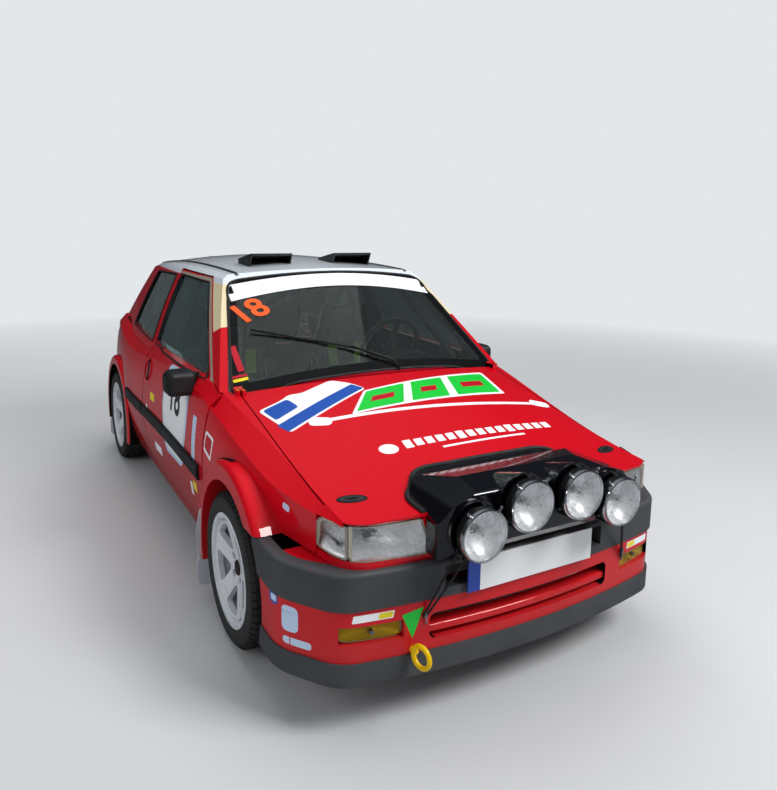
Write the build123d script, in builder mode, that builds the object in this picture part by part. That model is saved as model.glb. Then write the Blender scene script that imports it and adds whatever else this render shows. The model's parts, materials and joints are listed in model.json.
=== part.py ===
from build123d import *
import os
from math import atan2, cos, hypot, radians, sin

os.makedirs("parts", exist_ok=True)

# A three-door rally hatchback. All sizes are in millimetres.
# The car faces -Y, +X is its left side and +Z is up. The ground is at Z = 0.
# A station is a distance back from the face of the front bumper.

# Overall places along the car
CAR_LENGTH = 3737
LAMP_REACH = 122
MIDDLE = (CAR_LENGTH - LAMP_REACH) / 2
FRONT_AXLE = 745
WHEELBASE = 2385
REAR_AXLE = FRONT_AXLE + WHEELBASE

# Wheels and tyres
TYRE_RADIUS = 288
TYRE_WIDTH = 185
TYRE_BORE = 190
TRACK_HALF = 714
RIM_FLANGE = 210
RIM_WIDTH = 170
RIM_WALL = 9
SPOKES = 5
SPOKE_START = 18
RIM_WINDOW = (
    (71, -8), (71, 8), (150, 22), (167, 21), (167, 7), (169, 0), (167, -7), (167, -21), (150, -22),
)
BOLTS = 4
BOLT_CIRCLE = 98
BOLT_RADIUS = 6.5
BOLT_POCKET = 15
HUB_BACK = 8
HUB_RADIUS = 64
DISC_RADIUS = 118
DISC_FACES = (-20, -9)
STUB_RADIUS = 28
RIM_FACE = (
    (STUB_RADIUS, 26), (74, 26), (166, 52), (178, 52), (178, 76), (168, 74), (80, 54), (STUB_RADIUS, 46),
)
ARCH_RADIUS = 333
ARCH_RELIEF = 345
FRONT_FLARE = 408
REAR_FLARE = 392
FLARE_FACE = 806
FLARE_ROUND = 26

# Thickness of the body walls
SIDE_WALL = 58
LID_WALL = 26
FLOOR_WALL = 24
FRAME_WALL = 42
ROOF_WALL = 26
END_WALL = 40
GAP = 5
DOOR_GAP = 7
SEAT_GAP = 0.3

# Heights
SILL = 190
BAND_TOP = 540
LAMP_TOP = 680
BELT = 868
TAIL_SILL = 600

# Sections of the body below the windows, as half widths and heights:
# station, foot x, widest x, widest z, hip x, hip z, edge x, edge z, crown z
LOWER_ROWS = (
    (-30, 615, 694, 470, 676, 628, 632, 673, 691),
    (156, 635, 714, 477, 688, 642, 634, 689, 710),
    (FRONT_AXLE, 700, 776, 500, 740, 742, 662, 792, 842),
    (1150, 726, 786, 520, 752, 818, 700, 870, 930),
    (2300, 736, 795, 520, 764, 816, 724, BELT, 905),
    (REAR_AXLE, 726, 784, 540, 750, 826, 694, 878, 905),
    (3690, 655, 710, 560, 680, 832, 616, 886, 905),
)

# Sections of the body above the belt line:
# station, base x, bulge, top x, top z, shoulder x, shoulder z, crown z
BASE_LEVEL = 846
UPPER_ROWS = (
    (1000, 716, 10, 512, 1250, 486, 1272, 1290),
    (1700, 724, 11, 534, 1286, 505, 1305, 1334),
    (2300, 731, 12, 546, 1290, 516, 1311, 1357),
    (3000, 711, 11, 530, 1262, 500, 1282, 1322),
    (3720, 652, 10, 470, 1170, 440, 1190, 1232),
)

# Glass that is straight from foot to head and curved across: station and height of each end
SCREEN_FOOT = (1025, 905)
SCREEN_HEAD = (1599, 1322)
SCREEN_BEND = 2900
TAIL_FOOT = (3566, 900)
TAIL_HEAD = (3212, 1302)
TAIL_BEND = 3200
REAR_FOOT = (3662, 545)
REAR_BEND = 3400
SCREEN_PANE = 6
PANE = 4.5
PANE_INSET = 5
REBATE = 26

# Plan of the nose
NOSE_CENTRE = 34
NOSE_CORNER = (640, 84)
NOSE_ROUND = 120

# Bonnet
BONNET_HALF = 637
BONNET_REAR_MID = 1012
BONNET_REAR_END = 1104
BONNET_HINGE = (1095, 885)
BONNET_PIN = 636
PIN_RADIUS = 5
GATE_HINGE = (3208, 1303)
GATE_PIN = 120
BONNET_TO_GLASS = 12

# Doors, drawn on the skin: station and height of each corner
DOOR_OUTLINE = (
    (1118, 246), (1118, 862), (1212, 880), (1772, 1284), (2336, 1288), (2296, BELT), (2290, 246),
)
DOOR_WINDOW = ((1300, 893), (1782, 1252), (2290, 1258), (2254, 893))
QUARTER_WINDOW = ((2356, 893), (2392, 1252), (2936, 1232), (3012, 904))
DOOR_SLANT = 0.2
SKETCH_X = 900
DOOR_HINGE_STATION = 1146
HINGE_ROOM_IN = 62
HINGE_ROOM_OUT = 41
DOOR_HINGE_LOW = (769, 330)
DOOR_HINGE_HIGH = (752, 690)

# Floor and posts
FLOOR_HALF = 700
POST_LOW = 600
POST_HIGH = 664
POST_FRONT = 1062
DOOR_INNER = 680
DOOR_SWING = 12
JACK_PAD = (702, 724)
WING_END = 1112
BULKHEAD = 1112
WALL_START = 690
TUB_WALL = 8
REAR_TUB = 556
REAR_FLOOR = 400
ARM_BUSH = 28
HEEL = 2560
LEG_LOW = 362
LEG_HIGH = 430

# Bumpers: plan of each face and the heights of its bands
BUMPER_CORNER = (668, 72)
BUMPER_ROUND = 150
BUMPER_SIDE = 796
BUMPER_WALL = 46
BAND_ROUND = 15
BUMPER_FOOT_X = (345, 425)
BUMPER_FOOT_Z = (428, 500)
BAND_FOOT = 420
LIP_TOP = 250
LIP_FOOT = 176
TAIL_BUMPER_CORNER = (660, 3672)
TAIL_BUMPER_ROUND = 130
TAIL_BUMPER_FOOT = 236

FOG_X = 561
FOG_Z = 338
FOG_WIDTH = 200
FOG_HEIGHT = 58
INTAKE_HALF = 377
INTAKE_LOW = 284
INTAKE_HIGH = 370
INTAKE_BAR = (304, 326)
SCOOP = (330, 450, 522)
TOW_X = -432
TOW_Z = 263

# Lamp pod: lamp places as x and height, from the outside in
POD_LAMPS = ((283, 661), (105, 718))
LAMP_DIVIDER = 622
POD_LAMP_RADIUS = 84
POD_LAMP_BACK = -46
POD_LAMP_SHELL = 62
POD_HALF = 388
POD_PLAN = (
    (-388, -40), (-180, -80), (180, -80), (388, -40), (388, 150), (265, 292), (-265, 292), (-388, 150),
)
POD_PROFILE = (
    (292, 690), (292, 722), (200, 752), (90, 772), (-46, 766), (-50, 600), (-22, 566), (60, 566),
)
POD_FACE = (
    (-390, 540), (390, 540), (390, 668), (356, 738), (214, 782), (-214, 782), (-356, 738), (-390, 668),
)

# Roof
ROOF_HALF = 466
ROOF_END = 3203

WIPER_PIVOT = (84, 1036, 924)

# Roof vents: the flap and the mouth below it, as station and height
VENT_X = 229
VENT_HALF = 110
VENT_SIDE = ((1821, 1320), (1786, 1391), (1796, 1394), (2000, 1358), (2000, 1320))
VENT_MOUTH = ((1600, 1300), (1600, 1460), (1780, 1384.6), (1978, 1350), (1978, 1300))

# Steering: the line through the lower ball and the strut's top, as x and z
BALL = (TRACK_HALF - 45, 172)
STRUT_TOP = (TRACK_HALF - 167, 742)
STRUT_RADIUS = 23
ARM_Z = 148
BALL_RADIUS = 20
KINGPIN_LEAN = atan2(BALL[0] - STRUT_TOP[0], STRUT_TOP[1] - BALL[1])
STRUT_LENGTH = (STRUT_TOP[1] - SEAT_GAP - BALL[1] - STRUT_RADIUS * sin(KINGPIN_LEAN)) / cos(KINGPIN_LEAN)
STUB_END = TRACK_HALF + 50
ENGINE_FOOT = 250
LEG_FOOT = 330
CALIPER = (TRACK_HALF - 42, TRACK_HALF + 14)

# Cabin
SEAT_X = 335
SEAT_WIDTH = 470
WHEEL_CENTRE = (355, 1590, 905)
WHEEL_TILT = 24
CAGE_TUBE = 22
CAGE_BAR = 18
HOOP_STATION = 2340
HOOP_X = 596
HOOP_TOP = 1264


def at(station):
    """Y of a station."""
    return station - MIDDLE


def across(station):
    """Plane square to the car's length: local x is X, local y is Z."""
    return Plane.XZ.offset(-at(station))


def beside(x):
    """Plane along the car: local x is Y, local y is Z."""
    return Plane.YZ.offset(x)


def on_side(points):
    """Points given as station and height, ready for a plane along the car."""
    return [(at(station), height) for station, height in points]


def save(builder, name):
    """Label a piece and write it."""
    builder.part.label = name
    export_step(builder.part, f"parts/{name}.step")


def block(x_low, x_high, station_low, station_high, z_low, z_high, mode=Mode.ADD):
    """A box between two places on each axis."""
    with Locations(((x_low + x_high) / 2, at((station_low + station_high) / 2), (z_low + z_high) / 2)):
        return Box(x_high - x_low, abs(station_high - station_low), z_high - z_low, mode=mode)


def pair_of_blocks(x_low, x_high, station_low, station_high, z_low, z_high, mode=Mode.ADD):
    """The same box on both sides of the car."""
    block(x_low, x_high, station_low, station_high, z_low, z_high, mode)
    block(-x_high, -x_low, station_low, station_high, z_low, z_high, mode)


def tube(points, radius, bend, mode=Mode.ADD):
    """A round bar along points given as x, station and height."""
    places = [(x, at(station), height) for x, station, height in points]
    with BuildLine() as path:
        if len(places) > 2:
            FilletPolyline(*places, radius=bend)
        else:
            Line(*places)
    with BuildSketch(Plane(origin=path.line @ 0, z_dir=path.line % 0)) as section:
        Circle(radius)
    sweep(section.sketch, path=path.line, mode=mode)


def lower_form(side, top, floor):
    """The body below the windows, taken in by these walls."""
    with BuildPart() as form:
        for s, foot_x, wide_x, wide_z, hip_x, hip_z, edge_x, edge_z, crown_z in LOWER_ROWS:
            foot = (foot_x - side, SILL + floor)
            wide = (wide_x - side, wide_z)
            hip = (hip_x - side, hip_z - top / 2)
            edge = (edge_x - side, edge_z - top)
            with BuildSketch(across(s)):
                with BuildLine():
                    Line((-foot[0], foot[1]), foot)
                    ThreePointArc(foot, wide, hip)
                    Line(hip, edge)
                    ThreePointArc(edge, (0, crown_z - top), (-edge[0], edge[1]))
                    Line((-edge[0], edge[1]), (-hip[0], hip[1]))
                    ThreePointArc((-hip[0], hip[1]), (-wide[0], wide[1]), (-foot[0], foot[1]))
                make_face()
        loft()
    return form.part


def upper_form(side, roof):
    """The body above the belt line, taken in by these walls, before its glass is cut."""
    with BuildPart() as form:
        for s, base_x, bulge, top_x, top_z, shoulder_x, shoulder_z, crown_z in UPPER_ROWS:
            root = (base_x - side - 40, BASE_LEVEL - 130)
            base = (base_x - side, BASE_LEVEL)
            head = (top_x - side, top_z - roof)
            half = ((base[0] + head[0]) / 2 + bulge, (base[1] + head[1]) / 2)
            edge = (shoulder_x - side, shoulder_z - roof)
            with BuildSketch(across(s)):
                with BuildLine():
                    Line((-root[0], root[1]), root)
                    Line(root, base)
                    ThreePointArc(base, half, head)
                    Line(head, edge)
                    ThreePointArc(edge, (0, crown_z - roof), (-edge[0], edge[1]))
                    Line((-edge[0], edge[1]), (-head[0], head[1]))
                    ThreePointArc((-head[0], head[1]), (-half[0], half[1]), (-base[0], base[1]))
                    Line((-base[0], base[1]), (-root[0], root[1]))
                make_face()
        loft()
    return form.part


def slope_plane(foot, head, inset, facing):
    """Plane at a glass's foot: local y points into the car, the normal runs up the glass."""
    rise = Vector(0, head[0] - foot[0], head[1] - foot[1]).normalized()
    plane = Plane(origin=(0, at(foot[0]), foot[1]), x_dir=(facing, 0, 0), z_dir=rise)
    return Plane(origin=plane.origin + plane.y_dir * inset, x_dir=plane.x_dir, z_dir=rise)


def behind_glass(foot, head, bend, inset, facing, reach=5000):
    """All that lies behind a glass surface curved across the car."""
    half = 1000
    drop = bend - (bend**2 - half**2) ** 0.5
    with BuildPart() as space:
        with BuildSketch(slope_plane(foot, head, inset, facing)):
            with BuildLine():
                ThreePointArc((-half, drop), (0, 0), (half, drop))
                Line((half, drop), (half, 4800))
                Line((half, 4800), (-half, 4800))
                Line((-half, 4800), (-half, drop))
            make_face()
        extrude(amount=reach, both=True)
    return space.part


def nose_space(inset):
    """The body's plan at the nose, as an upright block."""
    corner = (NOSE_CORNER[0] - inset, at(NOSE_CORNER[1] + inset))
    with BuildPart() as space:
        with BuildSketch():
            with BuildLine():
                ThreePointArc((-corner[0], corner[1]), (0, at(NOSE_CENTRE + inset)), corner)
                Line(corner, (900, at(1400)))
                Line((900, at(1400)), (900, at(4000)))
                Line((900, at(4000)), (-900, at(4000)))
                Line((-900, at(4000)), (-900, at(1400)))
                Line((-900, at(1400)), (-corner[0], corner[1]))
            nose_face = make_face()
            fillet(nose_face.vertices().group_by(Axis.Y)[1 if inset < 0 else 0], NOSE_ROUND)
        extrude(amount=1600)
    return space.part


def body_form(side, top, floor, frame, roof, ends):
    """The closed body, taken in by these walls."""
    with BuildPart() as form:
        add(upper_form(frame, roof))
        add(behind_glass(SCREEN_FOOT, SCREEN_HEAD, SCREEN_BEND, ends, 1), mode=Mode.INTERSECT)
        add(lower_form(side, top, floor))
        add(behind_glass(TAIL_FOOT, TAIL_HEAD, TAIL_BEND, ends, -1), mode=Mode.INTERSECT)
        add(behind_glass(REAR_FOOT, TAIL_FOOT, REAR_BEND, ends, -1), mode=Mode.INTERSECT)
        add(nose_space(ends), mode=Mode.INTERSECT)
    return form.part


def skin_x(height):
    """Half width of the body's side at a height, near enough for slanted cuts."""
    if height <= BELT:
        return 795 - 71 * max(0, (height - 520) / (BELT - 520)) ** 2
    return 724 - 178 * (height - BELT) / (1290 - BELT)


def side_prism(outline, grow, rounds, depth=560):
    """A cut through the left side, slanted so that its inner edge lies further forward."""
    points = [(at(s + DOOR_SLANT * (SKETCH_X - skin_x(z))), z) for s, z in outline]
    reach = hypot(1, DOOR_SLANT)
    with BuildPart() as prism:
        with BuildSketch(beside(SKETCH_X)):
            with BuildLine():
                Polyline(*points, close=True)
            make_face()
            offset(amount=grow, kind=Kind.INTERSECTION)
            fillet(vertices(), rounds)
        extrude(amount=depth * reach, dir=(-1, -DOOR_SLANT, 0))
    return prism.part


def door_prism(grow, rounds, inner_x):
    """The left door's cut, kept off the scuttle in front of its window."""
    with BuildPart() as prism:
        add(side_prism(DOOR_OUTLINE, grow, rounds))
        block(0, inner_x, 1000, 1290, 0, 905, mode=Mode.SUBTRACT)
    return prism.part


def hinge_room():
    """Room round the left door's hinges, wider inboard of the pin."""
    low = Vector(DOOR_HINGE_LOW[0], at(DOOR_HINGE_STATION), DOOR_HINGE_LOW[1])
    high = Vector(DOOR_HINGE_HIGH[0], at(DOOR_HINGE_STATION), DOOR_HINGE_HIGH[1])
    plane = Plane(origin=(low + high) * 0.5, x_dir=(0, 1, 0), z_dir=high - low)
    with BuildPart() as room:
        with Locations(plane):
            Cylinder(HINGE_ROOM_IN, 1400)
        block(0, DOOR_HINGE_HIGH[0] - 8, 900, 1300, 0, 1500, mode=Mode.INTERSECT)
        with Locations(plane):
            Cylinder(HINGE_ROOM_OUT, 1400)
    return room.part


def front_prism(outline, station_low, station_high, grow):
    """A block along the car with this outline of x and height, grown all round."""
    with BuildPart() as prism:
        with BuildSketch(across(station_high)):
            with BuildLine():
                Polyline(*outline, close=True)
            make_face()
            if grow:
                offset(amount=grow, kind=Kind.INTERSECTION)
        extrude(amount=station_high - station_low)
    return prism.part


def pane_prism(foot, head, facing, half_foot, half_head, start, end, rounds):
    """A block square to a sloping glass, from start to end up its slope."""
    rise = Vector(0, head[0] - foot[0], head[1] - foot[1]).normalized()
    slope = slope_plane(foot, head, 0, facing)
    plane = Plane(origin=slope.origin, x_dir=slope.x_dir, z_dir=-slope.y_dir)
    up = 1 if plane.y_dir.dot(rise) > 0 else -1
    with BuildPart() as prism:
        with BuildSketch(plane):
            with BuildLine():
                Polyline((-half_foot, up * start), (half_foot, up * start), (half_head, up * end),
                         (-half_head, up * end), close=True)
            make_face()
            fillet(vertices(), rounds)
        extrude(amount=200, both=True)
    return prism.part


def length_of(foot, head):
    """Length of a slope."""
    return hypot(head[0] - foot[0], head[1] - foot[1])


SCREEN_LENGTH = length_of(SCREEN_FOOT, SCREEN_HEAD)
TAIL_LENGTH = length_of(TAIL_FOOT, TAIL_HEAD)
SCREEN_HALF_FOOT = 684
SCREEN_HALF_HEAD = 516
TAIL_HALF_FOOT = 560
TAIL_HALF_HEAD = 470

BACK_LAMP_START = 3430
LAMP_OUTLINE = ((352, 556), (900, 572), (900, LAMP_TOP - GAP), (398, LAMP_TOP - GAP))
BACK_LAMP_OUTLINE = ((612, 640), (900, 640), (900, 838), (628, 838))
GATE_OUTLINE = ((-590, TAIL_SILL), (590, TAIL_SILL), (606, 640), (622, 850), (600, 880), (470, 1420),
                (-470, 1420), (-600, 880), (-622, 850), (-606, 640))
WING_OUTLINE = ((236, 948), (236, BAND_TOP + 3), (FRONT_AXLE, BAND_TOP + 3), (FRONT_AXLE, SILL - 9),
                (WING_END, SILL - 9), (WING_END, 948))

outer_form = body_form(0, 0, 0, 0, 0, 0)
inner_form = body_form(SIDE_WALL, LID_WALL, FLOOR_WALL, FRAME_WALL, ROOF_WALL, END_WALL)
screen_glazing = pane_prism(SCREEN_FOOT, SCREEN_HEAD, 1, SCREEN_HALF_FOOT, SCREEN_HALF_HEAD,
                            14, SCREEN_LENGTH - 14, 40)
screen_hole = pane_prism(SCREEN_FOOT, SCREEN_HEAD, 1, SCREEN_HALF_FOOT - 2 * REBATE,
                         SCREEN_HALF_HEAD - REBATE, 60, SCREEN_LENGTH - 44, 40)
tail_glazing = pane_prism(TAIL_FOOT, TAIL_HEAD, -1, TAIL_HALF_FOOT - 8, TAIL_HALF_HEAD - 24,
                          22, TAIL_LENGTH - 34, 50)
tail_hole = pane_prism(TAIL_FOOT, TAIL_HEAD, -1, TAIL_HALF_FOOT - 8 - REBATE,
                       TAIL_HALF_HEAD - 24 - REBATE, 22 + REBATE, TAIL_LENGTH - 34 - REBATE, 40)
door_cut = door_prism(DOOR_GAP / 2, 14, DOOR_INNER - DOOR_SWING)
door_block = door_prism(-DOOR_GAP / 2, 12, DOOR_INNER + 4)
door_window_cut = side_prism(DOOR_WINDOW, 0, 26)
quarter_cut = side_prism(QUARTER_WINDOW, 0, 26)


def flare(axle, radius):
    """The round blister over a wheel, on the left."""
    with BuildPart() as blister:
        with BuildSketch(beside(WALL_START)):
            with Locations((at(axle), TYRE_RADIUS)):
                Circle(radius)
        extrude(amount=FLARE_FACE - WALL_START)
        fillet(blister.faces().sort_by(Axis.X)[-1].edges(), FLARE_ROUND)
        block(0, 1000, -400, 4200, SILL, 900, mode=Mode.INTERSECT)
    return blister.part


def arch(axle, radius, x_low, x_high, mode=Mode.SUBTRACT):
    """The round opening over a wheel, on the left."""
    with BuildSketch(beside(x_low)) as ring:
        with Locations((at(axle), TYRE_RADIUS)):
            Circle(radius)
    extrude(ring.sketch, amount=x_high - x_low, mode=mode)


# Body wall with its windows cut, before it is parted into panels
with BuildPart() as shell:
    add(outer_form)
    add(inner_form, mode=Mode.SUBTRACT)
    add(screen_hole, mode=Mode.SUBTRACT)
    add(tail_hole, mode=Mode.SUBTRACT)
with BuildPart() as screen_seat:
    add(screen_glazing)
    add(behind_glass(SCREEN_FOOT, SCREEN_HEAD, SCREEN_BEND, SCREEN_PANE, 1), mode=Mode.SUBTRACT)
with BuildPart() as tail_seat:
    add(tail_glazing)
    add(behind_glass(TAIL_FOOT, TAIL_HEAD, TAIL_BEND, PANE, -1), mode=Mode.SUBTRACT)
with BuildPart() as glazed_shell:
    add(shell.part)
    add(screen_seat.part, mode=Mode.SUBTRACT)
    add(tail_seat.part, mode=Mode.SUBTRACT)

# Left half of the wall, with the flares and arches
with BuildPart() as left_wall:
    add(glazed_shell.part)
    block(30, 1000, -200, 4000, 0, 1500, mode=Mode.INTERSECT)
with BuildPart() as flared_wall:
    add(left_wall.part)
    add(flare(FRONT_AXLE, FRONT_FLARE))
    add(flare(REAR_AXLE, REAR_FLARE))
    arch(FRONT_AXLE, ARCH_RADIUS, 500, 900)
    arch(REAR_AXLE, ARCH_RADIUS, 500, 900)

# Fixed half of the bonnet's left hinge, on the wing
with BuildPart() as bonnet_foot:
    block(BONNET_HALF + GAP, BONNET_PIN + 20, BONNET_HINGE[0] - 45, BONNET_HINGE[0],
          830, BONNET_HINGE[1])
    add(outer_form, mode=Mode.SUBTRACT)
    with Locations((BONNET_PIN + 10 + SEAT_GAP / 2, at(BONNET_HINGE[0]), BONNET_HINGE[1])):
        Cylinder(PIN_RADIUS, 20 - SEAT_GAP, rotation=(0, 90, 0))

# Front wing
with BuildPart() as front_wing_left:
    with BuildSketch(beside(BONNET_HALF + GAP)):
        with BuildLine():
            Polyline(*on_side(WING_OUTLINE), close=True)
        make_face()
    extrude(amount=400)
    add(flared_wall.part, mode=Mode.INTERSECT)
    add(hinge_room(), mode=Mode.SUBTRACT)
    add(door_cut, mode=Mode.SUBTRACT)
    add(bonnet_foot.part)

# Door
with BuildPart() as door_left:
    add(door_block)
    add(left_wall.part, mode=Mode.INTERSECT)
    add(door_window_cut, mode=Mode.SUBTRACT)
    block(0, ROOF_HALF + GAP, 1600, 2400, 1200, 1400, mode=Mode.SUBTRACT)

# Body side: sill, pillars, roof rail and rear quarter
with BuildPart() as body_side_left:
    add(flared_wall.part)
    block(ROOF_HALF, 1000, WING_END + SEAT_GAP, 4000, 0, 1500, mode=Mode.INTERSECT)
    add(door_cut, mode=Mode.SUBTRACT)
    add(quarter_cut, mode=Mode.SUBTRACT)
    add(front_prism(GATE_OUTLINE, 3100, 4000, GAP / 2 + 2), mode=Mode.SUBTRACT)
    add(front_prism(BACK_LAMP_OUTLINE, BACK_LAMP_START, 4000, 0), mode=Mode.SUBTRACT)
    block(0, FLOOR_HALF, 1080, 3800, 0, SILL + FLOOR_WALL, mode=Mode.SUBTRACT)
    block(0, 1000, 3520, 3800, 0, TAIL_SILL - GAP, mode=Mode.SUBTRACT)
    block(POST_HIGH, 1000, 1100, 1125, 250, 866, mode=Mode.SUBTRACT)
    block(POST_LOW, POST_HIGH, POST_FRONT, WING_END + SEAT_GAP, SILL + FLOOR_WALL, 805)
    block(POST_LOW, DOOR_INNER - DOOR_SWING, WING_END + SEAT_GAP, 1165, 700, 838)
    block(*JACK_PAD, 1275, 1325, SILL - 6, SILL + 1)
    block(*JACK_PAD, 2625, 2675, SILL - 6, SILL + 1)


def bumper_plan(inset, corner, middle, rounding, toward):
    """Plan of a bumper's face as a closed sketch reaching past the wheels."""
    x = corner[0] - inset
    y = at(corner[1] + toward * inset)
    side = BUMPER_SIDE - inset
    back = at(corner[1] + toward * 420)
    with BuildSketch() as plan:
        with BuildLine():
            ThreePointArc((-x, y), (0, at(middle + toward * inset)), (x, y))
            Polyline((x, y), (side, at(corner[1] + toward * 190)), (side, back), (-side, back),
                     (-side, at(corner[1] + toward * 190)), (-x, y))
        make_face()
        fillet(plan.vertices().filter_by(lambda v: abs(v.Y - y) < 1), rounding)
        fillet(plan.vertices().filter_by(lambda v: abs(v.Y - at(corner[1] + toward * 190)) < 1), 200)
    return plan.sketch


def bumper_band(inset, z_low, z_high, corner, middle, rounding, toward, reach=405, top_round=0):
    """A hollow band of a bumper between two heights, its upper edge rounded if asked."""
    with BuildPart() as band:
        with BuildSketch(Plane.XY.offset(z_low)):
            add(bumper_plan(inset, corner, middle, rounding, toward))
        extrude(amount=z_high - z_low)
        if top_round:
            fillet(band.faces().sort_by(Axis.Z)[-1].edges(), top_round)
        with BuildSketch(Plane.XY.offset(z_low)):
            add(bumper_plan(inset + BUMPER_WALL, corner, middle, rounding - BUMPER_WALL, toward))
        extrude(amount=z_high - z_low, mode=Mode.SUBTRACT)
        station = corner[1] + toward * reach
        block(-1000, 1000, station, corner[1] + toward * 500, z_low, z_high, mode=Mode.SUBTRACT)
    return band.part


def wheel_space(axle, radius, inner_x):
    """The round room of both wheels of an axle."""
    with BuildPart() as room:
        for side in (-1, 1):
            with BuildSketch(beside(side * inner_x)) as ring:
                with Locations((at(axle), TYRE_RADIUS)):
                    Circle(radius)
            extrude(ring.sketch, amount=side * (900 - inner_x))
    return room.part


front_room = wheel_space(FRONT_AXLE, ARCH_RELIEF, LEG_HIGH)
rear_room = wheel_space(REAR_AXLE, ARCH_RELIEF, REAR_TUB + TUB_WALL)

# Bumpers
with BuildPart() as intake_bar:
    add(bumper_band(14, *INTAKE_BAR, BUMPER_CORNER, 0, BUMPER_ROUND, 1, top_round=8))
    block(-INTAKE_HALF - 10, INTAKE_HALF + 10, -100, 200, 0, 900, mode=Mode.INTERSECT)
with BuildPart() as front_bumper:
    add(bumper_band(6, LIP_TOP + SEAT_GAP, BAND_FOOT - SEAT_GAP, BUMPER_CORNER, 0, BUMPER_ROUND, 1))
    add(front_room, mode=Mode.SUBTRACT)
    pair_of_blocks(FOG_X - FOG_WIDTH / 2, FOG_X + FOG_WIDTH / 2, -100, 200, FOG_Z - FOG_HEIGHT / 2,
                   FOG_Z + FOG_HEIGHT / 2, mode=Mode.SUBTRACT)
    with BuildSketch(across(200)) as intake:
        with Locations((0, (INTAKE_LOW + INTAKE_HIGH) / 2)):
            RectangleRounded(2 * INTAKE_HALF, INTAKE_HIGH - INTAKE_LOW, 22)
    extrude(intake.sketch, amount=300, mode=Mode.SUBTRACT)
    add(intake_bar.part)
    with Locations((TOW_X, at(60), TOW_Z)):
        Cylinder(11 + SEAT_GAP, 200, rotation=(90, 0, 0), mode=Mode.SUBTRACT)
with BuildPart() as bumper_trim:
    add(bumper_band(0, BAND_FOOT, BAND_TOP, BUMPER_CORNER, 0, BUMPER_ROUND, 1, top_round=BAND_ROUND))
    add(bumper_band(0, LIP_FOOT, LIP_TOP, BUMPER_CORNER, 0, BUMPER_ROUND, 1))
    add(front_room, mode=Mode.SUBTRACT)
    block(-SCOOP[0], SCOOP[0], -100, 200, SCOOP[1], SCOOP[2], mode=Mode.SUBTRACT)
with BuildPart() as rear_bumper:
    add(bumper_band(0, TAIL_BUMPER_FOOT, TAIL_SILL - GAP, TAIL_BUMPER_CORNER, CAR_LENGTH - 6,
                    TAIL_BUMPER_ROUND, -1, 142))
    add(rear_room, mode=Mode.SUBTRACT)
    add(outer_form, mode=Mode.SUBTRACT)

# Fog lamps in the recesses of the bumper
with BuildPart() as fog_lamps:
    for side in (-1, 1):
        with BuildSketch(across(112)) as lamp_face:
            with Locations((side * FOG_X, FOG_Z)):
                RectangleRounded(FOG_WIDTH - 2 * SEAT_GAP, FOG_HEIGHT - 2 * SEAT_GAP, 24)
        extrude(lamp_face.sketch, amount=60)

# Tow ring below the bumper's right corner
with BuildPart() as tow_ring:
    with Locations(Plane(origin=(TOW_X, at(-14), TOW_Z), z_dir=(1, 0.25, 0))):
        Torus(34, 8)
    with Locations((TOW_X, at(60), TOW_Z)):
        Cylinder(11, 84, rotation=(90, 0, 0))

# Plates, blank
with BuildPart() as number_plates:
    block(-260, 260, -6 - SEAT_GAP, -SEAT_GAP, 424, 534)
    block(-260, 260, CAR_LENGTH - 6 + SEAT_GAP, CAR_LENGTH, 380, 490)

# Nose panel with openings for the lamps
lamp_cut = front_prism(LAMP_OUTLINE, -100, 236, 0)
with BuildPart() as lamp_block:
    add(front_prism(LAMP_OUTLINE, -100, 236 - GAP, -SEAT_GAP * 2))
with BuildPart() as front_lamp_left:
    add(glazed_shell.part)
    add(lamp_block.part, mode=Mode.INTERSECT)
    block(LAMP_DIVIDER, LAMP_DIVIDER + 1, -100, 300, 500, 700, mode=Mode.SUBTRACT)
with BuildPart() as front_lamps:
    add(front_lamp_left.part)
    mirror(front_lamp_left.part, about=Plane.YZ)
with BuildPart() as front_panel:
    add(glazed_shell.part)
    block(-900, 900, -200, 236 - GAP, BAND_TOP, LAMP_TOP - GAP, mode=Mode.INTERSECT)
    add(lamp_cut, mode=Mode.SUBTRACT)
    mirror(lamp_cut, about=Plane.YZ, mode=Mode.SUBTRACT)
    for bar_z in (592, 616, 640):
        block(-320, 320, -100, 200, bar_z, bar_z + 14, mode=Mode.SUBTRACT)


def bonnet_prism(grow):
    """Plan of the bonnet, as an upright block."""
    half = BONNET_HALF + grow
    with BuildPart() as prism:
        with BuildSketch(Plane.XY.offset(LAMP_TOP - grow)):
            with BuildLine():
                ThreePointArc((-half, at(BONNET_REAR_END + grow)), (0, at(BONNET_REAR_MID + grow)),
                              (half, at(BONNET_REAR_END + grow)))
                Polyline((half, at(BONNET_REAR_END + grow)), (half, at(-100)), (-half, at(-100)),
                         (-half, at(BONNET_REAR_END + grow)))
            make_face()
        extrude(amount=400)
    return prism.part


def pair_of_pins(x_low, x_high, station, height, radius):
    """Hinge barrels along X on both sides of the car."""
    for side in (-1, 1):
        with Locations((side * (x_low + x_high) / 2, at(station), height)):
            Cylinder(radius, x_high - x_low, rotation=(0, 90, 0))


# Bonnet with the moving halves of its hinges
with BuildPart() as bonnet_leaves:
    pair_of_blocks(BONNET_PIN - 14, BONNET_PIN, 1040, BONNET_HINGE[0], 850, BONNET_HINGE[1])
    add(outer_form, mode=Mode.SUBTRACT)
    pair_of_pins(BONNET_PIN - 14, BONNET_PIN, *BONNET_HINGE, PIN_RADIUS)
with BuildPart() as bonnet:
    add(glazed_shell.part)
    add(bonnet_prism(0), mode=Mode.INTERSECT)
    add(behind_glass(SCREEN_FOOT, SCREEN_HEAD, SCREEN_BEND, -BONNET_TO_GLASS, 1), mode=Mode.SUBTRACT)
    add(bonnet_leaves.part)

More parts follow.
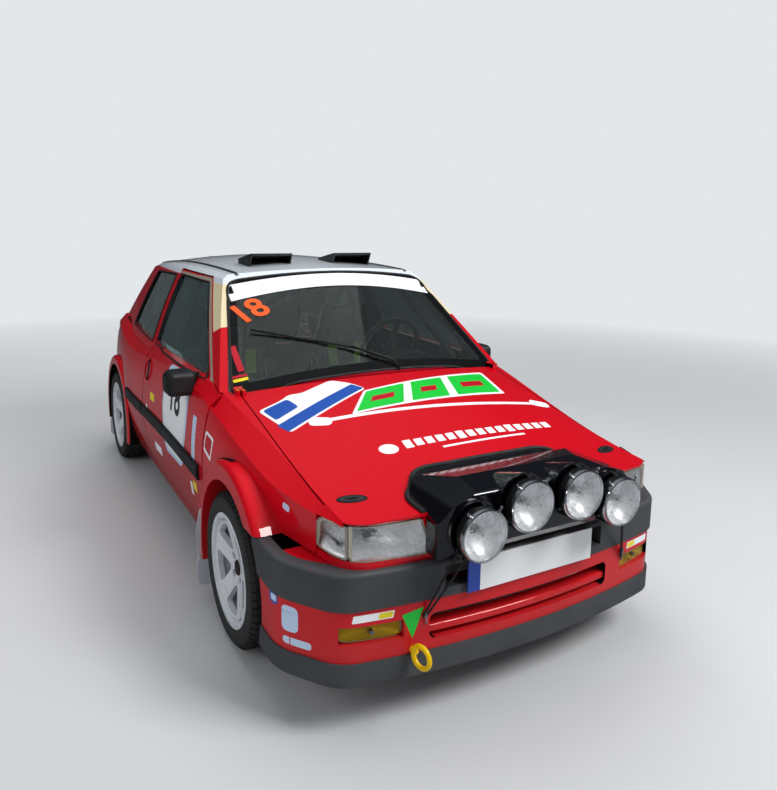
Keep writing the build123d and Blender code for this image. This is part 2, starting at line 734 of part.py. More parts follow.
# Lamp pod on the bonnet's nose, with a dome over each lamp
with BuildPart() as pod_room:
    add(nose_space(-GAP))
    block(-900, 900, -200, 400, 0, LAMP_TOP, mode=Mode.INTERSECT)
with BuildPart() as lamp_pod:
    with BuildSketch(beside(-POD_HALF)):
        with BuildLine():
            Polyline(*on_side(POD_PROFILE), close=True)
        make_face()
        fillet(vertices(), 14)
    extrude(amount=2 * POD_HALF)
    with BuildSketch() as pod_plan:
        with BuildLine():
            Polyline(*[(x, at(station)) for x, station in POD_PLAN], close=True)
        make_face()
        fillet(vertices(), 60)
    extrude(pod_plan.sketch, amount=1200, mode=Mode.INTERSECT)
    with BuildSketch(across(400)) as pod_face:
        with BuildLine():
            Polyline(*POD_FACE, close=True)
        make_face()
        fillet(vertices(), 45)
    extrude(pod_face.sketch, amount=600, mode=Mode.INTERSECT)
    for lamp_x, lamp_z in POD_LAMPS:
        for side in (-1, 1):
            with Locations(Plane(origin=(side * lamp_x, at(POD_LAMP_BACK - 20), lamp_z), z_dir=(0, 1, -0.1))):
                Cone(POD_LAMP_RADIUS + 9, 30, 300, align=(Align.CENTER, Align.CENTER, Align.MIN))
    for lamp_x, lamp_z in POD_LAMPS:
        for side in (-1, 1):
            with Locations(Plane(origin=(side * lamp_x, at(-200), lamp_z), z_dir=(0, 1, 0))):
                Cylinder(POD_LAMP_RADIUS + 2, 200 + POD_LAMP_BACK,
                         align=(Align.CENTER, Align.CENTER, Align.MIN), mode=Mode.SUBTRACT)
    add(outer_form, mode=Mode.SUBTRACT)
    add(pod_room.part, mode=Mode.SUBTRACT)
with BuildPart() as pod_lamps:
    for lamp_x, lamp_z in POD_LAMPS:
        for side in (-1, 1):
            plane = Plane(origin=(side * lamp_x, at(POD_LAMP_BACK - SEAT_GAP), lamp_z), x_dir=(1, 0, 0),
                          z_dir=(0, -1, 0))
            with Locations(plane):
                Cylinder(POD_LAMP_RADIUS, POD_LAMP_SHELL, align=(Align.CENTER, Align.CENTER, Align.MIN))
                Cylinder(POD_LAMP_RADIUS - 8, LAMP_REACH + POD_LAMP_BACK,
                         align=(Align.CENTER, Align.CENTER, Align.MIN))

# Roof panel and tailgate, each with its halves of the hinges
with BuildPart() as roof_leaves:
    pair_of_blocks(GATE_PIN - 30, GATE_PIN, GATE_HINGE[0] - 28, GATE_HINGE[0], 1270, GATE_HINGE[1] + 2)
    add(outer_form, mode=Mode.SUBTRACT)
    pair_of_pins(GATE_PIN - 30, GATE_PIN, *GATE_HINGE, PIN_RADIUS)
with BuildPart() as roof:
    add(glazed_shell.part)
    block(-ROOF_HALF + SEAT_GAP, ROOF_HALF - SEAT_GAP, 1400, ROOF_END, 1150, 1500, mode=Mode.INTERSECT)
    add(roof_leaves.part)
with BuildPart() as gate_leaves:
    pair_of_blocks(GATE_PIN + SEAT_GAP, GATE_PIN + 30, GATE_HINGE[0], GATE_HINGE[0] + 32,
                   1260, GATE_HINGE[1] + 2)
    add(outer_form, mode=Mode.SUBTRACT)
    pair_of_pins(GATE_PIN + SEAT_GAP, GATE_PIN + 30, *GATE_HINGE, PIN_RADIUS)
with BuildPart() as tailgate:
    add(glazed_shell.part)
    add(front_prism(GATE_OUTLINE, ROOF_END + 10, 4000, -GAP / 2 - 1), mode=Mode.INTERSECT)
    add(gate_leaves.part)

# Glass
with BuildPart() as side_sheet:
    add(upper_form(PANE_INSET, PANE_INSET))
    add(upper_form(PANE_INSET + PANE, PANE_INSET + PANE), mode=Mode.SUBTRACT)
with BuildPart() as quarter_pane:
    add(side_prism(QUARTER_WINDOW, -SEAT_GAP, 26))
    add(side_sheet.part, mode=Mode.INTERSECT)
with BuildPart() as door_glass_left:
    add(side_prism(DOOR_WINDOW, -SEAT_GAP, 26))
    add(side_sheet.part, mode=Mode.INTERSECT)
with BuildPart() as fixed_glass:
    add(pane_prism(SCREEN_FOOT, SCREEN_HEAD, 1, SCREEN_HALF_FOOT - 1, SCREEN_HALF_HEAD - 1,
                   15, SCREEN_LENGTH - 15, 40))
    add(behind_glass(SCREEN_FOOT, SCREEN_HEAD, SCREEN_BEND, 0, 1), mode=Mode.INTERSECT)
    add(behind_glass(SCREEN_FOOT, SCREEN_HEAD, SCREEN_BEND, SCREEN_PANE - SEAT_GAP, 1), mode=Mode.SUBTRACT)
    add(quarter_pane.part)
    mirror(quarter_pane.part, about=Plane.YZ)
with BuildPart() as tailgate_glass:
    add(pane_prism(TAIL_FOOT, TAIL_HEAD, -1, TAIL_HALF_FOOT - 9, TAIL_HALF_HEAD - 25,
                   23, TAIL_LENGTH - 35, 50))
    add(behind_glass(TAIL_FOOT, TAIL_HEAD, TAIL_BEND, 0, -1), mode=Mode.INTERSECT)
    add(behind_glass(TAIL_FOOT, TAIL_HEAD, TAIL_BEND, PANE - SEAT_GAP, -1), mode=Mode.SUBTRACT)

# Tail lamps
with BuildPart() as tail_lamps:
    add(glazed_shell.part)
    add(front_prism(BACK_LAMP_OUTLINE, BACK_LAMP_START + 1, 4000, -1), mode=Mode.INTERSECT)
    mirror(tail_lamps.part, about=Plane.YZ)

# Wall behind the rear bumper, and the scuttle between bonnet and windscreen
with BuildPart() as tail_wall:
    add(glazed_shell.part)
    block(-650, 650, 3520, 3800, 330, TAIL_SILL - GAP, mode=Mode.INTERSECT)
with BuildPart() as cowl_room:
    block(-ROOF_HALF + SEAT_GAP, ROOF_HALF - SEAT_GAP, 900, 1190, 780, 1100)
    block(-BONNET_HALF, BONNET_HALF, 900, WING_END, 780, 1100)
    add(bonnet_prism(GAP), mode=Mode.SUBTRACT)
with BuildPart() as cowl:
    add(glazed_shell.part)
    add(cowl_room.part, mode=Mode.INTERSECT)

# Floor with its heel board, bulkhead and tunnel
with BuildPart() as floor_plate:
    block(-FLOOR_HALF + SEAT_GAP, FLOOR_HALF - SEAT_GAP, BULKHEAD, HEEL, SILL, SILL + FLOOR_WALL)
    block(-POST_LOW + SEAT_GAP, POST_LOW - SEAT_GAP, BULKHEAD - 22, BULKHEAD, SILL, 830)
    block(-480, 480, BULKHEAD - 22, BULKHEAD, SILL, 870)
    block(-640, 640, HEEL - 22, HEEL, SILL, REAR_FLOOR)
    block(-640, 640, HEEL - 22, 3640, REAR_FLOOR, REAR_FLOOR + FLOOR_WALL)
    add(outer_form, mode=Mode.INTERSECT)
    add(rear_room, mode=Mode.SUBTRACT)
    block(-90, 90, BULKHEAD, HEEL, SILL, 330)
    block(-70, 70, BULKHEAD - 30, HEEL + 10, 0, 306, mode=Mode.SUBTRACT)
    add(tail_wall.part)

# Inner wheelhouses, legs and strut towers
tub_limit = body_form(SIDE_WALL + SEAT_GAP, LID_WALL, FLOOR_WALL, FRAME_WALL + SEAT_GAP, ROOF_WALL, END_WALL)
with BuildPart() as front_tub:
    with BuildSketch(beside(LEG_HIGH)):
        with Locations((at(FRONT_AXLE), TYRE_RADIUS)):
            Circle(ARCH_RELIEF + TUB_WALL)
    extrude(amount=WALL_START - SEAT_GAP - LEG_HIGH)
    add(tub_limit, mode=Mode.INTERSECT)
    block(400, 720, -200, 4000, -100, 330, mode=Mode.SUBTRACT)
    with Locations((STRUT_TOP[0], at(FRONT_AXLE), 745)):
        Cylinder(72, 112, align=(Align.CENTER, Align.CENTER, Align.MAX))
        Cylinder(64, 160, align=(Align.CENTER, Align.CENTER, Align.MAX), mode=Mode.SUBTRACT)
    with Locations((STRUT_TOP[0], at(FRONT_AXLE), 752)):
        Cylinder(72, 10, align=(Align.CENTER, Align.CENTER, Align.MAX))
    block(LEG_LOW, LEG_HIGH, 100, BULKHEAD - 10, LEG_FOOT, 420)
    block(LEG_HIGH - 8, LEG_HIGH, FRONT_AXLE - 340, BULKHEAD - 10, LEG_FOOT, 600)
    arch(FRONT_AXLE, ARCH_RELIEF, LEG_HIGH + TUB_WALL, FLARE_FACE)
    block(POST_LOW - SEAT_GAP, FLARE_FACE, POST_FRONT - SEAT_GAP, 1300, 0, 900, mode=Mode.SUBTRACT)
with BuildPart() as rear_tub:
    with BuildSketch(beside(REAR_TUB)):
        with Locations((at(REAR_AXLE), TYRE_RADIUS)):
            Circle(ARCH_RELIEF + TUB_WALL)
    extrude(amount=WALL_START - SEAT_GAP - REAR_TUB)
    add(tub_limit, mode=Mode.INTERSECT)
    arch(REAR_AXLE, ARCH_RELIEF, REAR_TUB + TUB_WALL, FLARE_FACE)
    block(REAR_TUB - 10, REAR_TUB + 10, REAR_AXLE - 120, REAR_AXLE + 80, 0, 370, mode=Mode.SUBTRACT)
with BuildPart() as bumper_feet:
    pair_of_blocks(*BUMPER_FOOT_X, 30, 130, *BUMPER_FOOT_Z)
    with BuildSketch(Plane.XY.offset(BUMPER_FOOT_Z[0])) as inner_plan:
        add(bumper_plan(BUMPER_WALL + SEAT_GAP, BUMPER_CORNER, 0, BUMPER_ROUND - BUMPER_WALL, 1))
    extrude(inner_plan.sketch, amount=BUMPER_FOOT_Z[1] - BUMPER_FOOT_Z[0], mode=Mode.INTERSECT)
with BuildPart() as floor_pan:
    add(floor_plate.part)
    add(bumper_feet.part)
    pair_of_blocks(*BUMPER_FOOT_X, 100, 130, 400, BUMPER_FOOT_Z[1])
    add(front_tub.part)
    mirror(front_tub.part, about=Plane.YZ)
    add(rear_tub.part)
    mirror(rear_tub.part, about=Plane.YZ)
    add(cowl.part)
    block(-LEG_HIGH, LEG_HIGH, 100, 130, LEG_FOOT, 420)
    block(-540, 540, 156, 176, 600, 628)
    pair_of_blocks(LEG_LOW, LEG_LOW + 30, 156, 176, 400, 610)

# Dashboard with the steering column
wheel_x, wheel_station, wheel_z = WHEEL_CENTRE
column_way = Vector(0, -cos(radians(WHEEL_TILT)), -sin(radians(WHEEL_TILT)))
with BuildPart() as dashboard:
    with BuildSketch(beside(-540)):
        with BuildLine():
            Polyline(*on_side(((BULKHEAD + SEAT_GAP, 700), (BULKHEAD + SEAT_GAP, 852), (1300, 872),
                                (1400, 840), (1420, 780), (1380, 700))),
                     close=True)
        make_face()
        fillet(vertices(), 16)
    extrude(amount=1080)
    with Locations(Plane(origin=Vector(wheel_x, at(wheel_station), wheel_z) + column_way * 62,
                         z_dir=column_way)):
        Cylinder(28, 200, align=(Align.CENTER, Align.CENTER, Align.MIN))

# Steering wheel
with BuildPart() as steering_wheel:
    hub_plane = Plane(origin=(wheel_x, at(wheel_station), wheel_z), x_dir=(1, 0, 0), z_dir=-column_way)
    with Locations(hub_plane):
        Torus(162, 15)
        Cylinder(38, 26, align=(Align.CENTER, Align.CENTER, Align.MAX))
        with PolarLocations(0, 3, start_angle=-90):
            with Locations((90, 0, -10)):
                Box(150, 34, 6)
    with Locations(Plane(origin=Vector(wheel_x, at(wheel_station), wheel_z) + column_way * 26,
                         z_dir=column_way)):
        Cylinder(22, 35, align=(Align.CENTER, Align.CENTER, Align.MIN))

# Bucket seats
SEAT_OUTLINE = (
    (1640, 238), (1610, 410), (1620, 470), (2020, 330), (2130, 1010), (2110, 1075), (2195, 1085),
    (2235, 1020), (2150, 330), (2120, 250),
)
SEAT_SIDE = (
    (1640, 238), (1600, 410), (1615, 500), (1720, 520), (1880, 500), (2000, 600), (2010, 760),
    (2090, 800), (2100, 960), (2060, 1000), (2070, 1060), (2180, 1090), (2235, 1020), (2150, 330),
    (2120, 250),
)
with BuildPart() as seats:
    for side in (-1, 1):
        middle = side * SEAT_X
        for low, high, outline in (
            (middle - SEAT_WIDTH / 2, middle - SEAT_WIDTH / 2 + 34, SEAT_SIDE),
            (middle - SEAT_WIDTH / 2 + 34, middle + SEAT_WIDTH / 2 - 34, SEAT_OUTLINE),
            (middle + SEAT_WIDTH / 2 - 34, middle + SEAT_WIDTH / 2, SEAT_SIDE),
        ):
            with BuildSketch(beside(low)):
                with BuildLine():
                    Polyline(*on_side(outline), close=True)
                make_face()
                fillet(vertices(), 12)
            extrude(amount=high - low)
        block(middle - 170, middle + 170, 1660, 2100, SILL + FLOOR_WALL + SEAT_GAP, 246)

# Roll cage: main hoop, side hoops, backstays, door bars, header and diagonal
with BuildPart() as roll_cage:
    foot_z = SILL + FLOOR_WALL + SEAT_GAP
    tube(((-HOOP_X, HOOP_STATION, foot_z), (-HOOP_X, HOOP_STATION, 850), (-430, HOOP_STATION, HOOP_TOP),
          (430, HOOP_STATION, HOOP_TOP), (HOOP_X, HOOP_STATION, 850), (HOOP_X, HOOP_STATION, foot_z)),
         CAGE_TUBE, 60)
    for side in (-1, 1):
        tube(((side * 590, 1190, foot_z), (side * 590, 1190, 800), (side * 446, 1690, 1226),
              (side * 380, HOOP_STATION, HOOP_TOP)), CAGE_BAR, 50)
        tube(((side * 456, HOOP_STATION, 1200), (side * 470, 3010, REAR_FLOOR + FLOOR_WALL + 13)),
             CAGE_BAR, 50)
        tube(((side * 590, 1190, 330), (side * HOOP_X, HOOP_STATION, 560)), CAGE_BAR - 2, 50)
    tube(((-446, 1690, 1226), (446, 1690, 1226)), CAGE_BAR - 2, 50)
    tube(((-HOOP_X, HOOP_STATION, 760), (300, HOOP_STATION, HOOP_TOP)), CAGE_BAR, 50)

# Engine with its gearbox, one plain block
with BuildPart() as engine:
    block(-110, 310, 560, 900, ENGINE_FOOT, 660)
    block(-310, -110, 590, 830, ENGINE_FOOT, 470)
    fillet(engine.edges(), 12)
    block(-90, 290, 600, 820, 650, 690)

# Front subframe with the lower arms and the steering rack
with BuildPart() as front_subframe:
    block(-LEG_HIGH, LEG_HIGH, 820, 940, 212, ENGINE_FOOT - SEAT_GAP)
    for side in (-1, 1):
        tube(((side * 330, 900, 215), (side * 470, 800, 180), (side * BALL[0], FRONT_AXLE, ARM_Z)), 14, 60)
        tube(((side * 340, 640, 220), (side * 500, 700, 180), (side * (BALL[0] - 20), FRONT_AXLE, ARM_Z)),
             12, 60)
        with Locations((side * BALL[0], at(FRONT_AXLE), ARM_Z - 12)):
            Cylinder(24, BALL[1] - BALL_RADIUS * sin(KINGPIN_LEAN) - SEAT_GAP - ARM_Z + 12,
                     align=(Align.CENTER, Align.CENTER, Align.MIN))
        block(min(side * 372, side * 404), max(side * 372, side * 404), 620, 940, 216, LEG_FOOT - SEAT_GAP)
    tube(((-430, 930, 262), (430, 930, 262)), 17, 10)

# Rear beam axle with its stub axles
with BuildPart() as rear_axle:
    tube(((-552, REAR_AXLE - 60, 262), (552, REAR_AXLE - 60, 262)), 30, 10)
    for side in (-1, 1):
        tube(((side * 520, REAR_AXLE - 40, 270), (side * 480, HEEL + 40, 270)), 20, 10)
        with Locations((side * 480, at(HEEL + ARM_BUSH + SEAT_GAP), 270)):
            Cylinder(ARM_BUSH, 60, rotation=(0, 90, 0))
        block(min(side * 510, side * 552), max(side * 510, side * 552), REAR_AXLE - 100, REAR_AXLE + 60,
              225, 350)
        with Locations(Plane(origin=(side * 550, at(REAR_AXLE), TYRE_RADIUS), z_dir=(side, 0, 0))):
            Cylinder(STUB_RADIUS, STUB_END - 550, align=(Align.CENTER, Align.CENTER, Align.MIN))
        with Locations((side * 500, at(REAR_AXLE - 20), 290)):
            Cylinder(26, REAR_FLOOR - SEAT_GAP - 290, align=(Align.CENTER, Align.CENTER, Align.MIN))

# Exhaust
with BuildPart() as exhaust:
    tube(((-160, 960, 150), (-160, 2500, 150), (-250, 2700, 170), (-250, 3300, 200)), 24, 120)
    with BuildSketch(across(3560)):
        with Locations((-250, 230)):
            RectangleRounded(230, 130, 55)
    extrude(amount=300)
    tube(((-300, 3540, 210), (-300, CAR_LENGTH - 20, 210)), 26, 10)

# Mud flaps behind the wheels
with BuildPart() as mud_flaps:
    for station, outer_x in ((FRONT_AXLE + 372, 815), (REAR_AXLE + 352, 800)):
        for side in (-1, 1):
            with BuildSketch(across(station + 6)) as flap:
                with Locations((side * (640 + outer_x) / 2, (50 + SILL - SEAT_GAP) / 2)):
                    Rectangle(outer_x - 640, SILL - SEAT_GAP - 50)
                fillet(flap.vertices().group_by(Axis.Z)[0], 34)
            extrude(flap.sketch, amount=6)

# Knuckle with its strut, disc guard and steering arm, on the left
kingpin = Vector(STRUT_TOP[0] - BALL[0], 0, STRUT_TOP[1] - BALL[1]).normalized()
ball = Vector(BALL[0], at(FRONT_AXLE), BALL[1])
with BuildPart() as knuckle_left:
    with Locations(Plane(origin=ball, z_dir=kingpin)):
        Cylinder(BALL_RADIUS, 120, align=(Align.CENTER, Align.CENTER, Align.MIN))
    with Locations(Plane(origin=ball + kingpin * 100, z_dir=kingpin)):
        Cylinder(STRUT_RADIUS, STRUT_LENGTH - 100, align=(Align.CENTER, Align.CENTER, Align.MIN))
    block(600, 640, FRONT_AXLE - 40, FRONT_AXLE + 40, 230, 350)
    tube(((612, FRONT_AXLE, 250), (590, FRONT_AXLE + 120, 250)), 14, 10)
    block(620, CALIPER[0] + 6, FRONT_AXLE + 20, FRONT_AXLE + 84, 296, 330)
    block(CALIPER[0], CALIPER[1], FRONT_AXLE + 71, FRONT_AXLE + 134, 262, 342)
    block(TRACK_HALF + DISC_FACES[0] - GAP, TRACK_HALF + DISC_FACES[1] + GAP,
          FRONT_AXLE - 200, FRONT_AXLE + 126, 150, 420, mode=Mode.SUBTRACT)
    with Locations(Plane(origin=(620, at(FRONT_AXLE), TYRE_RADIUS), z_dir=(1, 0, 0))):
        Cylinder(STUB_RADIUS, STUB_END - 620, align=(Align.CENTER, Align.CENTER, Align.MIN))
with BuildPart() as knuckle_right:
    mirror(knuckle_left.part, about=Plane.YZ)


def tyre_at(axle, side):
    """A tyre round its axle."""
    half = TYRE_WIDTH / 2
    with BuildPart() as tyre:
        with BuildSketch(Plane.XY):
            with BuildLine():
                Polyline((TYRE_BORE, -half + 16), (TYRE_BORE + 40, -half), (TYRE_RADIUS - 26, -half + 2),
                         (TYRE_RADIUS - 5, -half + 20), (TYRE_RADIUS, 0), (TYRE_RADIUS - 5, half - 20),
                         (TYRE_RADIUS - 26, half - 2), (TYRE_BORE + 40, half), (TYRE_BORE, half - 16),
                         close=True)
            make_face()
        revolve(axis=Axis.Y)
    return tyre.part.rotate(Axis.Z, -90 * side).moved(
        Location((side * TRACK_HALF, at(axle), TYRE_RADIUS)))


def rim_at(axle, side):
    """A five-spoke wheel with its hub, face outwards."""
    half = RIM_WIDTH / 2
    with BuildPart() as rim:
        with BuildSketch(Plane.XY):
            with BuildLine():
                Polyline((TYRE_BORE - SEAT_GAP, -half + 8), (RIM_FLANGE, -half), (RIM_FLANGE, -half - 0.1),
                         (RIM_FLANGE - RIM_WALL - 8, -half), (TYRE_BORE - RIM_WALL - 4, -half + 30),
                         (TYRE_BORE - RIM_WALL - 4, half - 30), (RIM_FLANGE - RIM_WALL - 8, half),
                         (RIM_FLANGE, half + 0.1), (RIM_FLANGE, half), (TYRE_BORE - SEAT_GAP, half - 8),
                         close=True)
            make_face()
        revolve(axis=Axis.Y)
        with BuildSketch(Plane.XY) as face:
            with BuildLine():
                Polyline(*RIM_FACE, close=True)
            make_face()
        revolve(face.sketch, axis=Axis.Y)
        outward = Plane(origin=(0, HUB_BACK, 0), x_dir=(1, 0, 0), z_dir=(0, 1, 0))
        with BuildSketch(outward) as windows:
            with PolarLocations(0, SPOKES, start_angle=SPOKE_START):
                with BuildSketch(mode=Mode.PRIVATE) as window:
                    with BuildLine():
                        Polyline(*[(reach * cos(radians(turn)), reach * sin(radians(turn)))
                                   for reach, turn in RIM_WINDOW], close=True)
                    make_face()
                    fillet(window.vertices(), 11)
                add(window.sketch)
        extrude(windows.sketch, amount=100, mode=Mode.SUBTRACT)
        with Locations(outward):
            Cylinder(HUB_RADIUS, 32, align=(Align.CENTER, Align.CENTER, Align.MIN))
            Cylinder(STUB_RADIUS + 0.5, 100, align=(Align.CENTER, Align.CENTER, Align.MIN),
                     mode=Mode.SUBTRACT)
            with PolarLocations(BOLT_CIRCLE / 2, BOLTS, start_angle=45):
                Cylinder(BOLT_RADIUS, 100, align=(Align.CENTER, Align.CENTER, Align.MIN), mode=Mode.SUBTRACT)
        with Locations(Plane(origin=(0, HUB_BACK + 22, 0), x_dir=(1, 0, 0), z_dir=(0, 1, 0))):
            with PolarLocations(BOLT_CIRCLE / 2, BOLTS, start_angle=45):
                Cylinder(BOLT_POCKET, 60, align=(Align.CENTER, Align.CENTER, Align.MIN), mode=Mode.SUBTRACT)
        disc_back, disc_front = DISC_FACES
        with Locations(Plane(origin=(0, disc_back, 0), x_dir=(1, 0, 0), z_dir=(0, 1, 0))):
            Cylinder(DISC_RADIUS, disc_front - disc_back, align=(Align.CENTER, Align.CENTER, Align.MIN))
            Cylinder(HUB_RADIUS, HUB_BACK - disc_back, align=(Align.CENTER, Align.CENTER, Align.MIN))
            Cylinder(STUB_RADIUS + 0.5, 60, align=(Align.CENTER, Align.CENTER, Align.MIN), mode=Mode.SUBTRACT)
    return rim.part.rotate(Axis.Z, -90 * side).moved(
        Location((side * TRACK_HALF, at(axle), TYRE_RADIUS)))


WHEELS = (("front_left", FRONT_AXLE, 1), ("front_right", FRONT_AXLE, -1),
          ("rear_left", REAR_AXLE, 1), ("rear_right", REAR_AXLE, -1))
for wheel_name, axle, side in WHEELS:
    with BuildPart() as tyre:
        add(tyre_at(axle, side))
    save(tyre, f"tyre_{wheel_name}")
    with BuildPart() as rim:
        add(rim_at(axle, side))
    save(rim, f"rim_{wheel_name}")

# Mirrors on the doors
with BuildPart() as mirror_left:
    with BuildSketch(across(1440)):
        with Locations((798, 858)):
            RectangleRounded(134, 112, 34)
    extrude(amount=86)
    fillet(mirror_left.faces().sort_by(Axis.Y)[0].edges(), 30)
    block(712, 760, 1380, 1420, 870, 900)
    add(outer_form, mode=Mode.SUBTRACT)

# Roof vents
with BuildPart() as roof_vents:
    for side in (-1, 1):
        for half_width, outline, mode in (
            (VENT_HALF, VENT_SIDE, Mode.ADD), (VENT_HALF - 6, VENT_MOUTH, Mode.SUBTRACT),
        ):
            with BuildSketch(beside(side * VENT_X - half_width)) as flap:
                with BuildLine():
                    Polyline(*on_side(outline), close=True)
                make_face()
            extrude(flap.sketch, amount=2 * half_width, mode=mode)
    add(outer_form, mode=Mode.SUBTRACT)

# Wiper
with BuildPart() as wiper:
    with Locations((WIPER_PIVOT[0], at(WIPER_PIVOT[1]), WIPER_PIVOT[2] - 20)):
        Cylinder(10, 30, align=(Align.CENTER, Align.CENTER, Align.MIN))
    tube((WIPER_PIVOT, (72, 1062, 950), (-97, 1150, 1012)), 6, 12)
    tube(((-72, 1139, 1000), (-97, 1150, 1007), (-504, 1324, 1084)), 5, 40)
    add(outer_form, mode=Mode.SUBTRACT)

for builder, name in (
    (front_wing_left, "front_wing_left"), (door_left, "door_left"), (body_side_left, "body_side_left"),
    (front_bumper, "front_bumper"), (bumper_trim, "bumper_trim"), (rear_bumper, "rear_bumper"),
    (fog_lamps, "fog_lamps"), (tow_ring, "tow_ring"), (number_plates, "number_plates"),
    (front_lamps, "front_lamps"), (front_panel, "front_panel"), (bonnet, "bonnet"),
    (lamp_pod, "lamp_pod"), (pod_lamps, "pod_lamps"), (roof, "roof"), (tailgate, "tailgate"),
    (door_glass_left, "door_glass_left"), (fixed_glass, "fixed_glass"),
    (tailgate_glass, "tailgate_glass"), (tail_lamps, "tail_lamps"), (floor_pan, "floor_pan"),
    (dashboard, "dashboard"), (steering_wheel, "steering_wheel"), (seats, "seats"),
    (roll_cage, "roll_cage"), (engine, "engine"), (front_subframe, "front_subframe"),
    (rear_axle, "rear_axle"), (exhaust, "exhaust"), (mud_flaps, "mud_flaps"),
    (knuckle_left, "knuckle_left"), (knuckle_right, "knuckle_right"), (mirror_left, "mirror_left"),
    (roof_vents, "roof_vents"), (wiper, "wiper"),
):
    save(builder, name)
for builder, name in (
    (front_wing_left, "front_wing_right"), (door_left, "door_right"),
    (body_side_left, "body_side_right"), (door_glass_left, "door_glass_right"),
    (mirror_left, "mirror_right"),
):
    with BuildPart() as twin:
        mirror(builder.part, about=Plane.YZ)
    save(twin, name)
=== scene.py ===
"""Looks of a rally hatchback: the finishes of its pieces and the small parts that ride on them.

Sizes are in metres unless a name ends in mm. The car faces -Y, its left side is +X and the ground is z = 0.
A station is the distance back from the front bumper's face in millimetres, as on a body drawing. Places on a
board, which is a flat drawing laid on the car's skin, are in millimetres too.
"""

import json
import logging
import math
from dataclasses import dataclass, field
from enum import Enum
from typing import Iterable, Sequence

import bmesh
import bpy
from mathutils import Matrix, Vector
from mathutils.bvhtree import BVHTree

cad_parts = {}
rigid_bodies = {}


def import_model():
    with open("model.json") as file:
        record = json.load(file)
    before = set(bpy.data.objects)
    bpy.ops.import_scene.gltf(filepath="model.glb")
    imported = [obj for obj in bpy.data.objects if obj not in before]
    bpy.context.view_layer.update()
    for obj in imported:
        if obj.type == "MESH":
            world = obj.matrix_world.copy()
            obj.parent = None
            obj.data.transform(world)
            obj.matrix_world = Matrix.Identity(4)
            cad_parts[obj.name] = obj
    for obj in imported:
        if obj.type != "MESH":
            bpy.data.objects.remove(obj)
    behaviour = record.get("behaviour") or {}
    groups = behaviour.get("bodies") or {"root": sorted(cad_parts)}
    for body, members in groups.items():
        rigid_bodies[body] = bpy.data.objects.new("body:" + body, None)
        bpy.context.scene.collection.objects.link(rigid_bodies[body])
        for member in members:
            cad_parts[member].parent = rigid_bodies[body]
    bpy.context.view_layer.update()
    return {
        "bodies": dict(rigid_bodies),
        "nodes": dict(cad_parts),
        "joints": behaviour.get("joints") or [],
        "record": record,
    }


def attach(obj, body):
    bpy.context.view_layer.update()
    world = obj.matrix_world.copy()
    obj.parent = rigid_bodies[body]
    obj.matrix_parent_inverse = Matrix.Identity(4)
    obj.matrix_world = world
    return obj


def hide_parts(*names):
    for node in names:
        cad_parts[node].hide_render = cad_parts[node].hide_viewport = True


MM = 0.001
MIDDLE_MM = 1807.5
PHOTO_WIDTH = 777
PHOTO_HEIGHT = 790
CABIN_MIDDLE = (0.0, 0.25, 0.86)
STAND_OFF = 0.4
FIGURE_HEIGHT = 0.7
FIGURE_WEIGHT = 0.035
WALL_DEPTH_MM = 86.0
FLUTE_DEPTH = 0.08
ACROSS = Vector((1, 0, 0))
UPWARD = Vector((0, 0, 1))
REARWARD = Vector((0, 1, 0))

Point = tuple[float, float, float]
Flat = tuple[float, float]
Piece = bpy.types.Object
Tree = bpy.types.NodeTree
Node = bpy.types.Node
Socket = bpy.types.NodeSocket

log = logging.getLogger("rally_car")


class Side(Enum):
    """A side of the car, as the sign of its X."""

    LEFT = 1
    RIGHT = -1

    @property
    def word(self) -> str:
        """The side's name in node and body names."""
        return self.name.lower()


class Body(Enum):
    """The moving bodies that pieces ride on."""

    ROOT = "root"
    BONNET = "bonnet"
    DOOR_LEFT = "door_left"
    DOOR_RIGHT = "door_right"
    TAILGATE = "tailgate"
    STEERING_WHEEL = "steering_wheel"

    @classmethod
    def door(cls, side: Side) -> "Body":
        """The door of a side."""
        return cls.DOOR_LEFT if side is Side.LEFT else cls.DOOR_RIGHT


def place(x_mm: float, station_mm: float, z_mm: float) -> Vector:
    """A point of the car from its x, station and height in millimetres."""
    return Vector((x_mm, station_mm - MIDDLE_MM, z_mm)) * MM


def linear(hex_colour: str) -> tuple[float, float, float, float]:
    """Turn an sRGB hex colour into linear light.

    Args:
        hex_colour: Six hex digits, with or without a leading mark.

    Returns:
        Red, green, blue and an alpha of one.
    """
    digits = hex_colour.lstrip("#")
    channels = [int(digits[i:i + 2], 16) / 255 for i in (0, 2, 4)]
    return tuple(c / 12.92 if c <= 0.04045 else ((c + 0.055) / 1.055) ** 2.4 for c in channels) + (1.0,)


def add_node(tree: Tree, kind: str, inputs: dict | None = None, **settings: object) -> Node:
    """Add a node with its settings and inputs.

    Args:
        tree: The node tree that takes the node.
        kind: The node's type name.
        inputs: A socket to link or a value to set, by input name or number.
        settings: Properties of the node itself.

    Returns:
        The new node.
    """
    node = tree.nodes.new(kind)
    for name, value in settings.items():
        setattr(node, name, value)
    for name, given in (inputs or {}).items():
        if isinstance(given, Socket):
            tree.links.new(given, node.inputs[name])
        else:
            node.inputs[name].default_value = given
    return node


def calculate(tree: Tree, operation: str, *terms: Socket | float) -> Socket:
    """The result of one Math node."""
    return add_node(tree, "ShaderNodeMath", dict(enumerate(terms)), operation=operation).outputs[0]


def stretch(tree: Tree, value: Socket, low: float, high: float, to_low: float = 0.0, to_high: float = 1.0) -> Socket:
    """A value carried from one range to another."""
    return add_node(tree, "ShaderNodeMapRange", {"Value": value, "From Min": low, "From Max": high,
                                                 "To Min": to_low, "To Max": to_high}).outputs["Result"]


